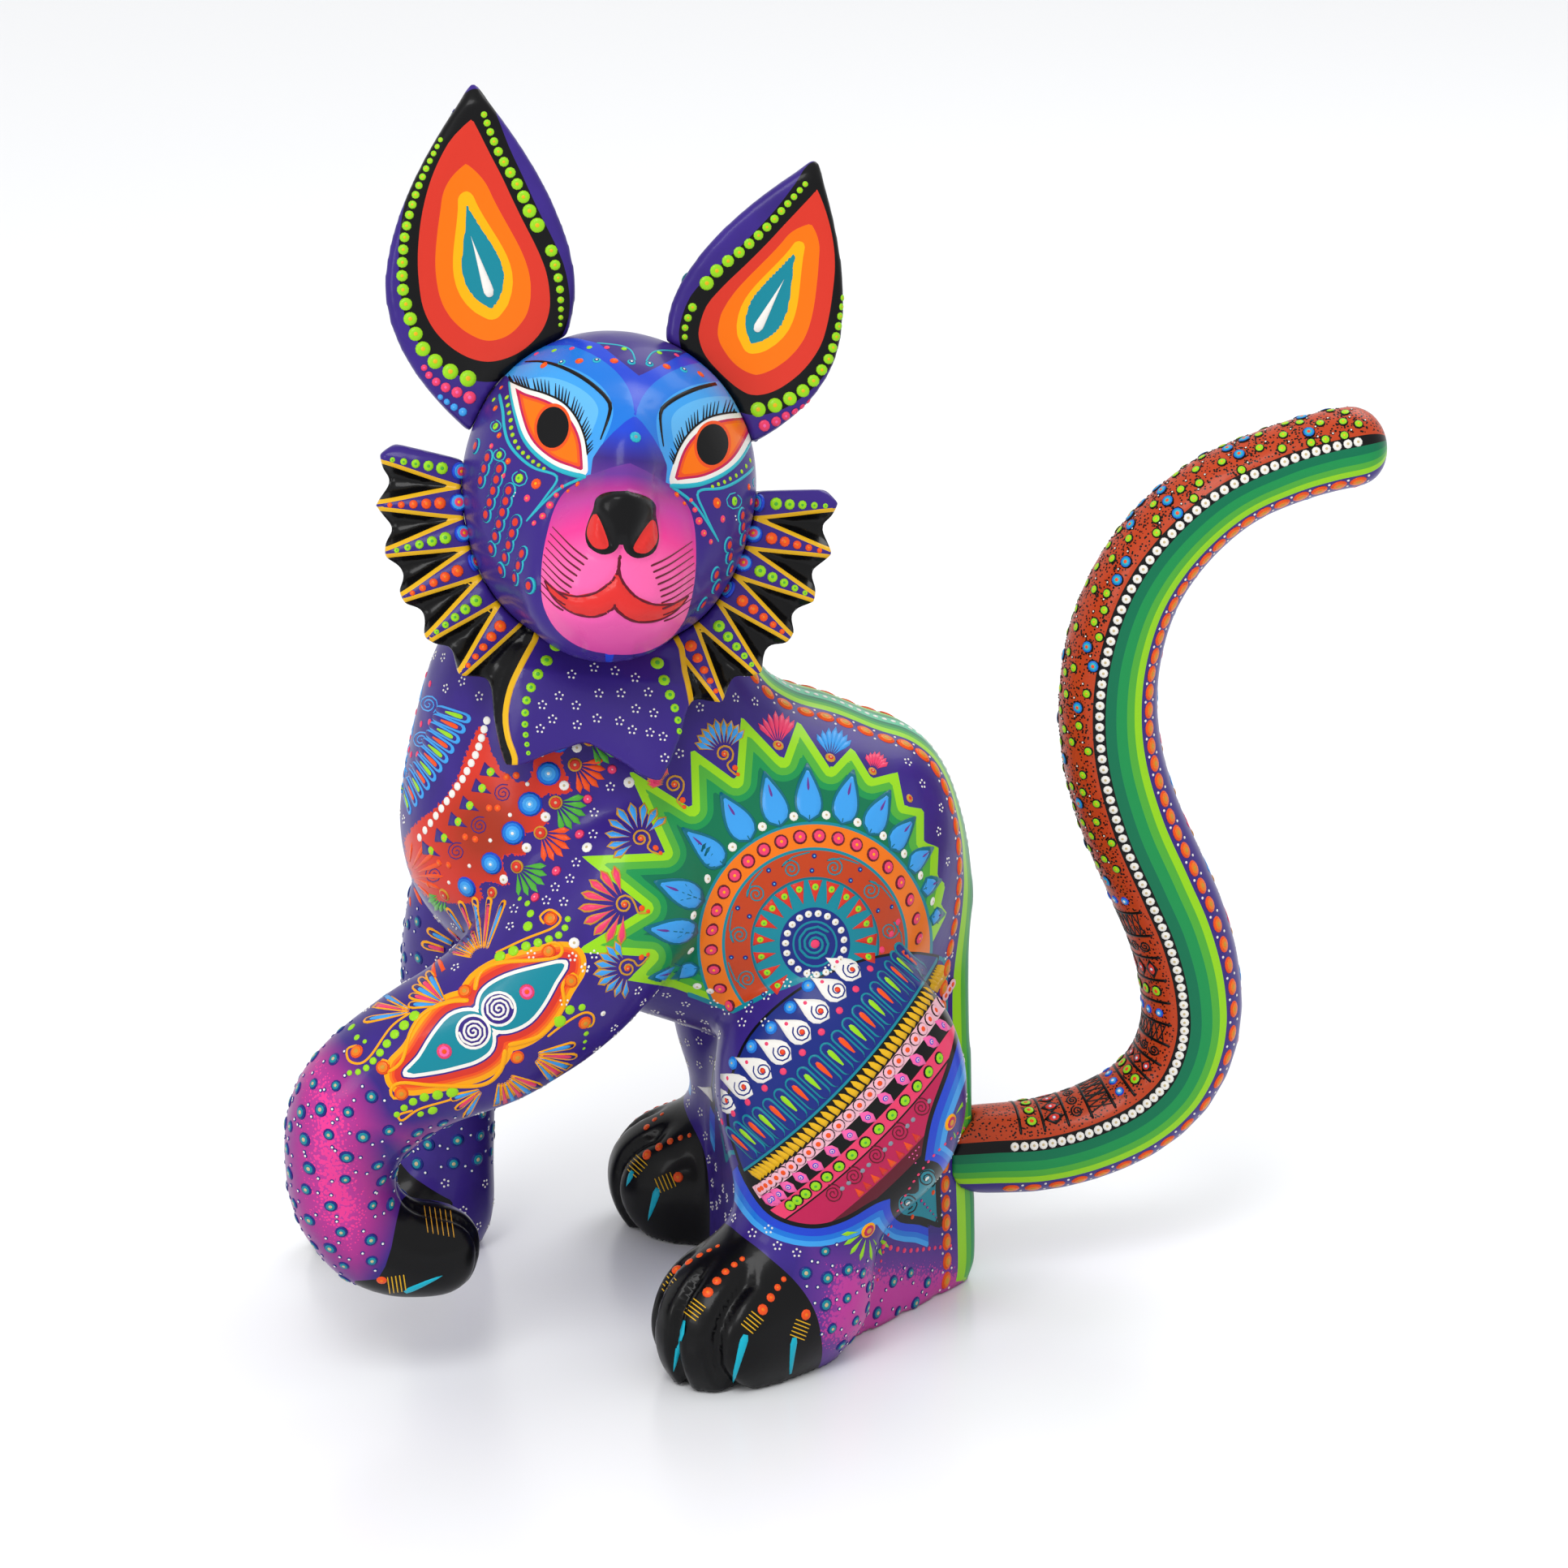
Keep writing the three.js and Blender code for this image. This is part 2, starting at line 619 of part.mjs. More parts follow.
function addLegs() {
  for (const [name, field] of Object.entries(legFields)) {
    let leg = carve(field, bodyBox, cell.leg).subtract(groundBlock);
    for (const peg of dowels.filter((d) => d.leg === name)) leg = leg.subtract(peg.hole);
    addPiece(lynx, name, geometryOf(whole(leg)), paint.magenta);
  }
  for (const { name, pin } of dowels) addPiece(lynx, name, pin, paint.wood);
}

// An ear, its peg and the peg's hole, in the head's frame. side is -1 on the lynx's right.
function earParts(size, side) {
  const base = new THREE.Vector3(size.baseX, earBaseY, size.baseZ);
  const place = new THREE.Matrix4().makeRotationY(rad(size.lean)).setPosition(base);
  const blank = solid(earGeometry(size).applyMatrix4(place));
  const pull = new THREE.Vector3(side * Math.sin(rad(earPegLean)), 0, Math.cos(rad(earPegLean)));
  const spot = base.clone().add(new THREE.Vector3(0, earCup - 0.5, 2));
  return { blank, ...pegAt(spot, pull, earPeg) };
}

const grownHead = carve(grown(headField, seamGap), headBox, cell.head);

const ears = {
  left_ear: earParts(leftEar, 1),
  right_ear: earParts(rightEar, -1),
};

function addHead() {
  let skull = carve(headField, headBox, cell.head)
    .subtract(carve(toHead(grown(torsoField, seamGap)), headBox, cell.torso))
    .subtract(neckPeg.hole.transform(headPlace.clone().invert().elements));
  for (const { hole } of Object.values(ears)) skull = skull.subtract(hole);
  addPiece(head, "head", geometryOf(whole(skull)), paint.blue);
  for (const [name, { blank, pin, hole }] of Object.entries(ears)) {
    const ear = blank.subtract(grownHead).subtract(hole);
    addPiece(head, name, geometryOf(whole(ear)), paint.orange);
    addPiece(head, `${name}_peg`, pin, paint.wood);
  }
  addPiece(lynx, "neck_dowel", neckPeg.pin, paint.wood);
}

function addRuff() {
  let collar = solid(ruffGeometry())
    .subtract(grownHead)
    .subtract(carve(toHead(grown(torsoField, seamGap)), ruffBox, cell.torso));
  for (const field of [legFields.left_foreleg, legFields.right_foreleg]) {
    collar = collar.subtract(carve(toHead(grown(field, seamGap)), ruffBox, cell.leg));
  }
  addPiece(head, "ruff", geometryOf(whole(collar)), paint.black);
}

function addTail() {
  const tail = solid(tailGeometry())
    .subtract(torsoBlank)
    .subtract(torsoBlank.translate([0, tailStartGap, 0]))
    .subtract(tailPin.hole);
  addPiece(lynx, "tail", geometryOf(whole(tail)), paint.green);
  addPiece(lynx, "tail_peg", tailPin.pin, paint.wood);
}

addBody();
addLegs();
addHead();
addRuff();
addTail();

export default lynx;
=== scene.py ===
"""A carved and painted wooden lynx: its looks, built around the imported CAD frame.

Lengths are millimetres unless they are handed to Blender, which takes metres. Paint is set out on
flat sheets of paper held up in front of the carving, and carried on to it by straight lines: the
main sheet is seen from the painter's eye on the figure's left, and its mirror image does the right
side; the face and the ruff have sheets square to the head. Broad colours are a coat of paint whose
edges are distances kept at the skin's points; dots, petals, scrolls and lines are small bodies of
paint that stand a little proud of the wood.
"""

import math
import random

import bmesh
import bpy
import numpy as np
from mathutils import Euler, Matrix, Vector
from mathutils.bvhtree import BVHTree
from mathutils.kdtree import KDTree


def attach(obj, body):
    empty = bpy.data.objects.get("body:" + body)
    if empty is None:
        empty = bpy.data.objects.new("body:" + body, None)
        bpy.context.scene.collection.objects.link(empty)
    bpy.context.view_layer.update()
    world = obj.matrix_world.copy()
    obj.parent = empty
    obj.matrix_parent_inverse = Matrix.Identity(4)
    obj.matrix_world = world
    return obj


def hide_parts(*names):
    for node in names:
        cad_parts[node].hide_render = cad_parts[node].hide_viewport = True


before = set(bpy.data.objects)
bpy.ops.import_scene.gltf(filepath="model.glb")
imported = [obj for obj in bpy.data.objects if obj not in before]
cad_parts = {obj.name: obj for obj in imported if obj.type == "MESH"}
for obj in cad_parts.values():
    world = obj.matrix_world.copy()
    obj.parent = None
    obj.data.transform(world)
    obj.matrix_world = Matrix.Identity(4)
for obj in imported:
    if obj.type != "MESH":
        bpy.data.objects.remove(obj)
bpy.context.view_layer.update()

MM = 0.001
CARVED_NODES = ("torso", "left_foreleg", "right_foreleg", "left_hind_leg", "right_hind_leg")

# ---- Sheets -------------------------------------------------------------------------------------

EYE_AZIMUTH = math.radians(80)
EYE_HEIGHT = math.radians(18.5)
EYE_DISTANCE = 1500
SHEET_CENTRE = Vector((-12.8, -13, 135))
SHEET_WIDTH = 405.7  # what the camera sees across at the main sheet

TOWARDS_EYE = Vector((
    math.sin(EYE_AZIMUTH) * math.cos(EYE_HEIGHT),
    -math.cos(EYE_AZIMUTH) * math.cos(EYE_HEIGHT),
    math.sin(EYE_HEIGHT),
))
EYE = SHEET_CENTRE + TOWARDS_EYE * EYE_DISTANCE

HEAD_CENTRE = Vector((14, -62, 222))
HEAD_TURN = Euler((math.radians(-14), math.radians(7.4), math.radians(85)), "YXZ").to_matrix()


class Sheet:
    """A flat sheet with places (u, v) on it, seen from an eye or, without one, square to it."""

    def __init__(self, origin, right, up, eye=None):
        self.origin = Vector(origin)
        self.right = Vector(right)
        self.up = Vector(up)
        self.normal = self.right.cross(self.up)
        self.eye = eye

    def ray(self, u, v):
        target = self.origin + self.right * u + self.up * v
        if self.eye is None:
            return target + self.normal * 200, -self.normal
        return self.eye, (target - self.eye).normalized()

    def places(self, points):
        """Where points on a skin are seen on the sheet, as two arrays."""
        away = points - np.array(self.origin)
        depth = away @ np.array(self.normal)
        u = away @ np.array(self.right)
        v = away @ np.array(self.up)
        if self.eye is None:
            return u, v
        reach = (self.eye - self.origin).dot(self.normal)
        share = reach / (reach - depth)
        side = (self.eye - self.origin).dot(self.right)
        rise = (self.eye - self.origin).dot(self.up)
        return side + (u - side) * share, rise + (v - rise) * share

    def mirrored(self):
        """The same sheet for the other side of the spine plane."""
        flip = Matrix.Diagonal((-1, 1, 1))
        other = Sheet(flip @ self.origin, flip @ self.right, flip @ self.up, self.eye and flip @ self.eye)
        other.normal = flip @ self.normal
        return other


ACROSS = Vector((math.cos(EYE_AZIMUTH), math.sin(EYE_AZIMUTH), 0))
MAIN = Sheet(SHEET_CENTRE, ACROSS, TOWARDS_EYE.cross(ACROSS), EYE)
OTHER = MAIN.mirrored()
FACE_SIDE = HEAD_TURN @ Vector((1, 0, 0))
FACE_UP = HEAD_TURN @ Vector((0, 0, 1))
FACE = Sheet(HEAD_CENTRE + HEAD_TURN @ Vector((2.4, -34, 0)), FACE_SIDE, FACE_UP, EYE)
RUFF = Sheet(HEAD_CENTRE, FACE_SIDE, FACE_UP)


# ---- Curves and areas on a sheet ----------------------------------------------------------------

def rounded(points, closed=False, steps=6):
    """A smooth line through some points (Catmull-Rom)."""
    p = [np.array(q, float) for q in points]
    count = len(p)
    spans = count if closed else count - 1
    line = []
    for i in range(spans):
        if closed:
            a, b, c, d = (p[(i + k) % count] for k in (-1, 0, 1, 2))
        else:
            a, b, c, d = p[max(i - 1, 0)], p[i], p[i + 1], p[min(i + 2, count - 1)]
        for step in range(steps):
            t = step / steps
            line.append(
                0.5 * (2 * b + (c - a) * t + (2 * a - 5 * b + 4 * c - d) * t * t
                       + (3 * b - a - 3 * c + d) * t ** 3)
            )
    if not closed:
        line.append(p[-1])
    return np.array(line)


def outline(points, steps=3):
    """A smooth closed line through some points."""
    return rounded(points, closed=True, steps=steps)


def outside(u, v, edge):
    """Distance from each place to a closed edge, negative inside it."""
    best = np.full(len(u), 1e9)
    inside = np.zeros(len(u), bool)
    ends = np.roll(edge, -1, axis=0)
    for (ax, ay), (bx, by) in zip(edge, ends):
        ex, ey = bx - ax, by - ay
        t = np.clip(((u - ax) * ex + (v - ay) * ey) / (ex * ex + ey * ey + 1e-12), 0, 1)
        best = np.minimum(best, (u - ax - t * ex) ** 2 + (v - ay - t * ey) ** 2)
        crosses = (ay > v) != (by > v)
        if ay != by:
            inside ^= crosses & (u < ex * (v - ay) / ey + ax)
    return np.where(inside, -1, 1) * np.sqrt(best)


def turn(angle, length=1.0):
    """A step of some length at an angle in degrees on the sheet."""
    return np.array((math.cos(math.radians(angle)), math.sin(math.radians(angle)))) * length


def spiral(centre, radius, turns, start=0, hand=1, inner=0.12, steps=9):
    """A spiral from its outer end at the angle start to its middle."""
    count = max(int(turns * steps), 4)
    return [
        np.array(centre) + turn(start + hand * 360 * turns * i / count,
                                radius * (1 - (1 - inner) * i / count))
        for i in range(count + 1)
    ]


def drop_outline(tip, base, width):
    """A teardrop from a point to a round end."""
    tip, base = np.array(tip, float), np.array(base, float)
    along = base - tip
    reach = math.hypot(*along)
    side = np.array((-along[1], along[0])) / reach
    shares = np.linspace(0, 1, 15)
    half = [width / 2 * math.sin(math.pi * s ** 1.7) ** 0.8 for s in shares[1:-1]]
    left = [tip + along * s + side * h for s, h in zip(shares[1:-1], half)]
    right = [tip + along * s - side * h for s, h in zip(shares[1:-1], half)]
    return np.array([tip, *left, base, *right[::-1]])


# Widths of a stroke, as functions of the share of its length.

def wedge(width):
    return lambda t: width * (1 - t)


def diamond(width):
    return lambda t: width * (1 - abs(2 * t - 1))


def taper(first, last):
    return lambda t: first + (last - first) * t


# ---- Colours ------------------------------------------------------------------------------------

COLOURS = {
    "violet": "3a2682", "deep_violet": "2c2070", "plum": "6b3596", "magenta": "b0328f", "navy": "1b2c80",
    "royal": "2147d2", "blue": "1b78dc", "sky": "3fa2ee", "pale_sky": "63baf5", "teal": "12899b",
    "deep_teal": "0d6c80", "aqua": "2ab4c6", "claw": "12b5cf", "pine": "0b7550", "green": "1c9550",
    "leaf_green": "52b13c", "lime": "9bdc1e", "mint": "5cc79a", "yellow": "ecb71c", "gold": "cf962e",
    "amber": "ffab0a", "orange": "f67a16", "tangerine": "f4541c", "red": "dc3727", "rose": "f2426f",
    "pink": "fb68ae", "pale_pink": "f5bccb", "crimson": "c41f55", "maroon": "641428", "black": "08080a",
    "white": "f4f1ea", "bone": "cdb98c", "grey": "8d93a3", "wood": "cfa873", "lip_red": "e2322f",
    "hot_pink": "f23d98", "orchid": "c63d9f", "flame_1": "f95a1a", "flame_2": "fe7603",
    "flame_3": "ff9208", "rust": "c2431c", "ember": "a8341c", "flame_4": "ffb604", "flame_5": "ffd322",
}


PAINT_DEPTH = 0.8  # the share of light a paint gives back next to its swatch


def colour(name):
    """A named colour as linear light."""
    parts = [int(COLOURS[name][i:i + 2], 16) / 255 for i in (0, 2, 4)]
    return tuple(PAINT_DEPTH * (c / 12.92 if c <= 0.04045 else ((c + 0.055) / 1.055) ** 2.4) for c in parts)


class Paint:
    """A new material, and short ways to add to it."""

    def __init__(self, name):
        self.material = bpy.data.materials.new(name)
        self.material.use_nodes = True
        self.nodes = self.material.node_tree.nodes
        self.links = self.material.node_tree.links
        self.shader = self.nodes["Principled BSDF"]

    def node(self, kind, **inputs):
        """A new node; an input's name has _ for each space, and small letters for capitals."""
        made = self.nodes.new(kind)
        for key, value in inputs.items():
            made.inputs[key.replace("_", " ").title()].default_value = value
        return made

    def noise(self, scale, detail=3):
        place = self.node("ShaderNodeTexCoord")
        made = self.node("ShaderNodeTexNoise", scale=scale, detail=detail)
        self.links.new(place.outputs["Object"], made.inputs["Vector"])
        return made.outputs["Fac"]

    def varnish(self, roughness, bump):
        """Hand-rubbed varnish: roughness that drifts, brush and knife marks under a thin clear coat."""
        drift = self.node("ShaderNodeMapRange", to_min=roughness - 0.07, to_max=roughness + 0.1)
        self.links.new(self.noise(60), drift.inputs["Value"])
        self.links.new(drift.outputs["Result"], self.shader.inputs["Roughness"])
        marks = self.node("ShaderNodeBump", strength=0.5, distance=bump)
        self.links.new(self.noise(420, 4), marks.inputs["Height"])
        self.links.new(marks.outputs["Normal"], self.shader.inputs["Normal"])
        self.shader.inputs["Coat Weight"].default_value = 0.1
        self.shader.inputs["Coat Roughness"].default_value = 0.1
        self.shader.inputs["Specular IOR Level"].default_value = 0.13


TINTS = {}


def tint(name):
    """The material of one paint, for dots and strokes, made when it is first asked for."""
    if name not in TINTS:
        paint = Paint("paint_" + name)
        paint.shader.inputs["Base Color"].default_value = (*colour(name), 1)
        paint.varnish(0.32, 0.00003)
        TINTS[name] = paint.material
    return TINTS[name]


MOTTLE = 0.12  # how far the ground colour strays either way
STIPPLE_SCALE = 1150  # dots to the metre in a fretted edge
STIPPLE_REACH = 3.2
INSIDE = -50  # deeper inside most outlines than any place is


class Coat(Paint):
    """A varnished coat of paint on a skin: one colour over another, each within an area."""

    def __init__(self, mesh, name, ground):
        super().__init__(name)
        self.mesh = mesh
        self.count = 0
        mesh.materials.clear()
        mesh.materials.append(self.material)
        self.now = self.brushed(ground)

    def ramp(self, fac, stops, smooth=False):
        """stops: (place, colour name, cover) in rising order."""
        made = self.node("ShaderNodeValToRGB")
        made.color_ramp.interpolation = "LINEAR" if smooth else "CONSTANT"
        elements = made.color_ramp.elements
        elements[0].position = stops[0][0]
        elements[1].position = stops[-1][0]
        for stop in stops[1:-1]:
            elements.new(stop[0])
        for element, (_, name, cover) in zip(elements, stops):
            element.color = (*colour(name), cover)
        self.links.new(fac, made.inputs["Fac"])
        return made

    def brushed(self, name):
        """The ground colour, a little darker and lighter where the brush went."""
        made = self.node("ShaderNodeValToRGB")
        low, high = made.color_ramp.elements
        base = colour(name)
        low.position, high.position = 0.3, 0.7
        low.color = (*[c * (1 - MOTTLE) for c in base], 1)
        high.color = (*[min(c * (1 + MOTTLE), 1) for c in base], 1)
        self.links.new(self.noise(90), made.inputs["Fac"])
        return made.outputs["Color"]

    def fretted(self, value, stipple):
        """A value with small round spots of a rise in it."""
        spots = self.node("ShaderNodeTexVoronoi", scale=STIPPLE_SCALE)
        place = self.node("ShaderNodeTexCoord")
        self.links.new(place.outputs["Object"], spots.inputs["Vector"])
        lift = self.node("ShaderNodeMath")
        lift.operation = "MULTIPLY_ADD"
        lift.inputs[1].default_value = STIPPLE_REACH * stipple
        self.links.new(spots.outputs["Distance"], lift.inputs[0])
        self.links.new(value, lift.inputs[2])
        return lift.outputs[0]

    def lay(self, values, stops, smooth=False, stipple=0):
        """Lays colours by a value at each point; stops: (value, colour name or None to leave).

        Stipple frets the edges into small dots, which reach about that many millimetres in.
        """
        self.count += 1
        key = f"area_{self.count}"
        low, high = stops[0][0] - 1.0, stops[-1][0] + 1.0
        layer = self.mesh.attributes.new(key, "FLOAT", "POINT")
        layer.data.foreach_set("value", np.clip(values, low - 20, high + 20).astype(np.float32))
        read = self.node("ShaderNodeAttribute")
        read.attribute_name = key
        fit = self.node("ShaderNodeMapRange", from_min=low, from_max=high)
        value = self.fretted(read.outputs["Fac"], stipple) if stipple else read.outputs["Fac"]
        self.links.new(value, fit.inputs["Value"])
        shares = [((value - low) / (high - low), name) for value, name in stops]
        known = next(name for _, name in stops if name)
        rows = [] if smooth else [(0, known, 0)]
        for share, name in shares:
            known = name or known
            rows.append((share, known, 1 if name else 0))
        made = self.ramp(fit.outputs["Result"], rows, smooth)
        mix = self.node("ShaderNodeMix")
        mix.data_type = "RGBA"
        self.links.new(made.outputs["Alpha"], mix.inputs["Factor"])
        self.links.new(self.now, mix.inputs["A"])
        self.links.new(made.outputs["Color"], mix.inputs["B"])
        self.now = mix.outputs["Result"]
        return mix

    def wash(self, area, tone, stops, smooth=True, stipple=0):
        """One area, below nought, in colours set by a second value at each point."""
        before = self.now
        self.lay(tone, [*stops], smooth, stipple)
        toned = self.now
        self.now = before
        mix = self.fill(area, stops[0][1])
        self.links.new(toned, mix.inputs["B"])

    def fill(self, area, name, stipple=0):
        """One area, below nought, in one colour."""
        return self.lay(area, [(INSIDE, name), (0, None)], stipple=stipple)

    def finish(self, roughness=0.3):
        self.links.new(self.now, self.shader.inputs["Base Color"])
        self.varnish(roughness, 0.00006)


# ---- The brush ----------------------------------------------------------------------------------

def bead_form(sides):
    """A unit drop of paint: a sunk foot, a shoulder and a flat crown, closed underneath."""
    rings = ((1.0, -0.35), (0.86, 0.45), (0.5, 0.9))
    angles = [2 * math.pi * i / sides for i in range(sides)]
    points = [(r * math.cos(a), r * math.sin(a), h) for r, h in rings for a in angles]
    faces = [tuple(reversed(range(sides))), tuple(range(2 * sides, 3 * sides))]
    for ring in range(2):
        for i in range(sides):
            j = (i + 1) % sides
            a, b = ring * sides + i, ring * sides + j
            faces.append((a, b, b + sides, a + sides))
    return np.array(points), faces


BEADS = {sides: bead_form(sides) for sides in (7, 10, 14)}
SUNK = 0.12  # how far the feet of dots and strokes reach into the wood
PROUD = 0.16  # how far a stroke stands out of it
LEAST_FACING = 0.16  # skin that slopes away more than this takes no paint
BROAD = 2.2  # strokes wider than this follow the skin across their width too
NARROW_COLUMNS = ((-1, False), (-0.7, True), (0.7, True), (1, False))  # share across, and if it is proud
BROAD_COLUMNS = ((-1, False), *((share, True) for share in (-0.9, -0.45, 0, 0.45, 0.9)), (1, False))


def line_lengths(line):
    """How far along a line each of its points is."""
    return np.concatenate(([0], np.cumsum(np.hypot(*np.diff(line, axis=0).T))))


class Brush:
    """Lays dots and strokes on one skin."""

    def __init__(self, skin, sheet):
        mesh = skin.data
        co = coordinates(mesh) / MM
        sides = np.empty(len(mesh.loops), dtype=np.int64)
        mesh.loops.foreach_get("vertex_index", sides)
        starts = np.empty(len(mesh.polygons), dtype=np.int64)
        mesh.polygons.foreach_get("loop_start", starts)
        polygons = np.split(sides, starts[1:])
        self.tree = BVHTree.FromPolygons(co.tolist(), [p.tolist() for p in polygons])
        self.sheet = sheet
        self.points = []
        self.faces = []
        self.hues = []
        self.names = []
        self.total = 0

    def hit(self, u, v):
        origin, way = self.sheet.ray(u, v)
        point, normal, _, _ = self.tree.ray_cast(origin, way)
        if point is None or normal.dot(way) > -LEAST_FACING:
            return None
        return point, normal

    def add(self, points, faces, name):
        if name not in self.names:
            self.names.append(name)
        hue = self.names.index(name)
        self.points.append(points)
        self.faces.extend(tuple(self.total + i for i in face) for face in faces)
        self.hues.extend([hue] * len(faces))
        self.total += len(points)

    def bead_at(self, point, normal, radius, layers, stretch=None):
        """Stacked drops at a place on the skin; layers: (colour, share of the radius)."""
        first = normal.orthogonal().normalized() if stretch is None else stretch[0]
        second = normal.cross(first)
        axes = np.array((first, second, normal))
        lift = 0.0
        for name, share in layers:
            r = radius * share
            sides = 7 if r < 0.55 else 10 if r < 1.7 else 14
            form, faces = BEADS[sides]
            tall = min(0.16 + 0.12 * r, 0.5) if lift == 0 else 0.1
            scale = np.array((r * (stretch[1] if stretch else 1), r, tall))
            placed = np.array(point) + (form * scale + (0, 0, lift)) @ axes
            if lift == 0 and r > 2:
                placed[:sides] -= np.array(normal) * 0.25
            self.add(placed, faces, name)
            lift += tall * 0.8

    def bead(self, place, radius, *layers):
        """A dot of paint; layers: a colour name, or (colour, share) pairs."""
        spot = self.hit(*place)
        if spot:
            stack = [(layer, 1) if isinstance(layer, str) else layer for layer in layers]
            self.bead_at(*spot, radius, stack)

    def beads(self, places, radius, *layers):
        for place in places:
            self.bead(place, radius, *layers)

    def row(self, line, radius, *layers, gap=0.15, ends=(1, 1)):
        """Dots that touch along a line; ends: their size at either end, as a share."""
        line = np.array(line, float)
        lengths = line_lengths(line)
        total, at = lengths[-1], 0.0
        while at <= total:
            share = at / total if total else 0
            r = radius * (ends[0] + (ends[1] - ends[0]) * share)
            place = [np.interp(at, lengths, line[:, k]) for k in (0, 1)]
            self.bead(place, r, *layers)
            at += 2 * r + gap

    def stroke(self, line, width, name, lift=0.0, pointed=False):
        """A line of paint; width is a number, or a function of the share of its length."""
        line = np.array(line, float)
        lengths = line_lengths(line)
        total = lengths[-1]
        if total < 0.1:
            return
        broad = width(0.5) if callable(width) else width
        count = int(np.clip(total / max(0.7, min(broad, 1.4)), 3, 160))
        marks = list(np.linspace(0, total, count + 1))
        if not pointed:
            tip = min(broad * 0.5, total * 0.2)
            marks += [tip * 0.12, tip * 0.45, total - tip * 0.12, total - tip * 0.45]
        stations = []
        last = None
        for at in sorted(marks):
            spot = self.hit(np.interp(at, lengths, line[:, 0]), np.interp(at, lengths, line[:, 1]))
            jump = last is not None and spot and (spot[0] - last).length > 3 * total / count + 2
            if spot is None or jump:
                self.ribbon(stations, total, broad, width, name, lift, pointed)
                stations = []
            if spot:
                stations.append((at, *spot))
                last = spot[0]
        self.ribbon(stations, total, broad, width, name, lift, pointed)

    def ribbon(self, stations, total, broad, width, name, lift, pointed):
        """One unbroken run of a stroke; stations: (how far along, point, normal)."""
        if len(stations) < 2:
            return
        spine = np.array([tuple(s[1]) for s in stations])
        if np.linalg.norm(spine[-1] - spine[0]) < 0.05 and len(stations) < 4:
            return
        along = np.gradient(spine, axis=0)
        columns = BROAD_COLUMNS if broad > BROAD else NARROW_COLUMNS
        points = []
        for (at, point, normal), forward in zip(stations, along):
            half = (width(at / total) if callable(width) else width) / 2
            if not pointed:
                for near in (at, total - at):
                    if near < half:
                        half *= math.sqrt(max(1 - (1 - near / half) ** 2, 0.02))
            half = max(half, 0.03)
            side = normal.cross(Vector(forward)).normalized()
            for share, proud in columns:
                place = point + side * (half * share)
                above = normal
                if broad > BROAD:
                    near = self.tree.find_nearest(place)
                    if near[0] is not None and near[1].dot(normal) > 0.3:
                        place, above = near[0], near[1]
                height = lift + PROUD * min(1, 0.4 + half) if proud else -SUNK
                points.append(tuple(place + above * height))
        n = len(columns)
        faces = [tuple(range(n)), tuple(range(len(points) - 1, len(points) - 1 - n, -1))]
        for i in range(len(stations) - 1):
            a = i * n
            for k in range(n):
                k2 = (k + 1) % n
                faces.append((a + k, a + n + k, a + n + k2, a + k2))
        self.add(np.array(points), faces, name)

    def petal(self, root, tip, width, name, lift=0.0, heavy=0.74):
        """A brush-pressed petal: thin at its root, broadest at the share of its length called heavy."""
        bend = math.log(0.5) / math.log(heavy)

        def press(t):
            return width * max(math.sin(math.pi * min(t, 1) ** bend), 0) ** 0.6

        self.stroke([root, tip], press, name, lift, pointed=True)

    def fan(self, root, aim, spread, count, inner, outer, width, names, lift=0.0):
        """Petals spread about an aim, in degrees on the sheet."""
        for i in range(count):
            angle = aim + spread * (i / (count - 1) - 0.5)
            reach = outer * (1 - 0.14 * abs(2 * i / (count - 1) - 1))
            a = np.array(root) + turn(angle, inner)
            b = np.array(root) + turn(angle, reach)
            self.petal(a, b, width, names[i % len(names)], lift)

    def sprigs(self, places, size=1.0):
        """Five small white dots in a ring at each place."""
        for place in places:
            for k in range(5):
                self.bead(np.array(place) + turn(72 * k + 18, 0.95 * size), 0.33 * size, "white")

    def on_skin(self, point, normal, offset, radius, layers):
        """A dot beside a place on the skin, by an offset in the skin's own plane."""
        first = normal.orthogonal().normalized()
        spot = point + first * offset[0] + normal.cross(first) * offset[1]
        near = self.tree.find_nearest(spot)
        if near[0] is not None and near[1].dot(normal) > 0.5:
            self.bead_at(near[0], near[1], radius, layers)

    def scatter(self, places, seed, gap, draw, others=()):
        """Draws at some of the places, at least a gap from every dot and stroke, in a settled order."""
        dabs = [points[::4] for brush in (self, *others) for points in brush.points]
        marks = np.concatenate(dabs) if dabs else np.zeros((1, 3)) - 999
        taken = KDTree(len(marks))
        for mark in marks:
            taken.insert(mark, 0)
        taken.balance()
        rng = random.Random(seed)
        order = list(places)
        rng.shuffle(order)
        own = {}
        for place in order:
            if taken.find(place)[2] < gap * 0.62:
                continue
            key = tuple(int(math.floor(c / gap)) for c in place)
            close = (own.get((key[0] + i, key[1] + j, key[2] + k), ())
                     for i in (-1, 0, 1) for j in (-1, 0, 1) for k in (-1, 0, 1))
            if any((Vector(other) - Vector(place)).length < gap for cell in close for other in cell):
                continue
            own.setdefault(key, []).append(tuple(place))
            point, normal, _, _ = self.tree.find_nearest(Vector(place))
            draw(point, normal, rng)

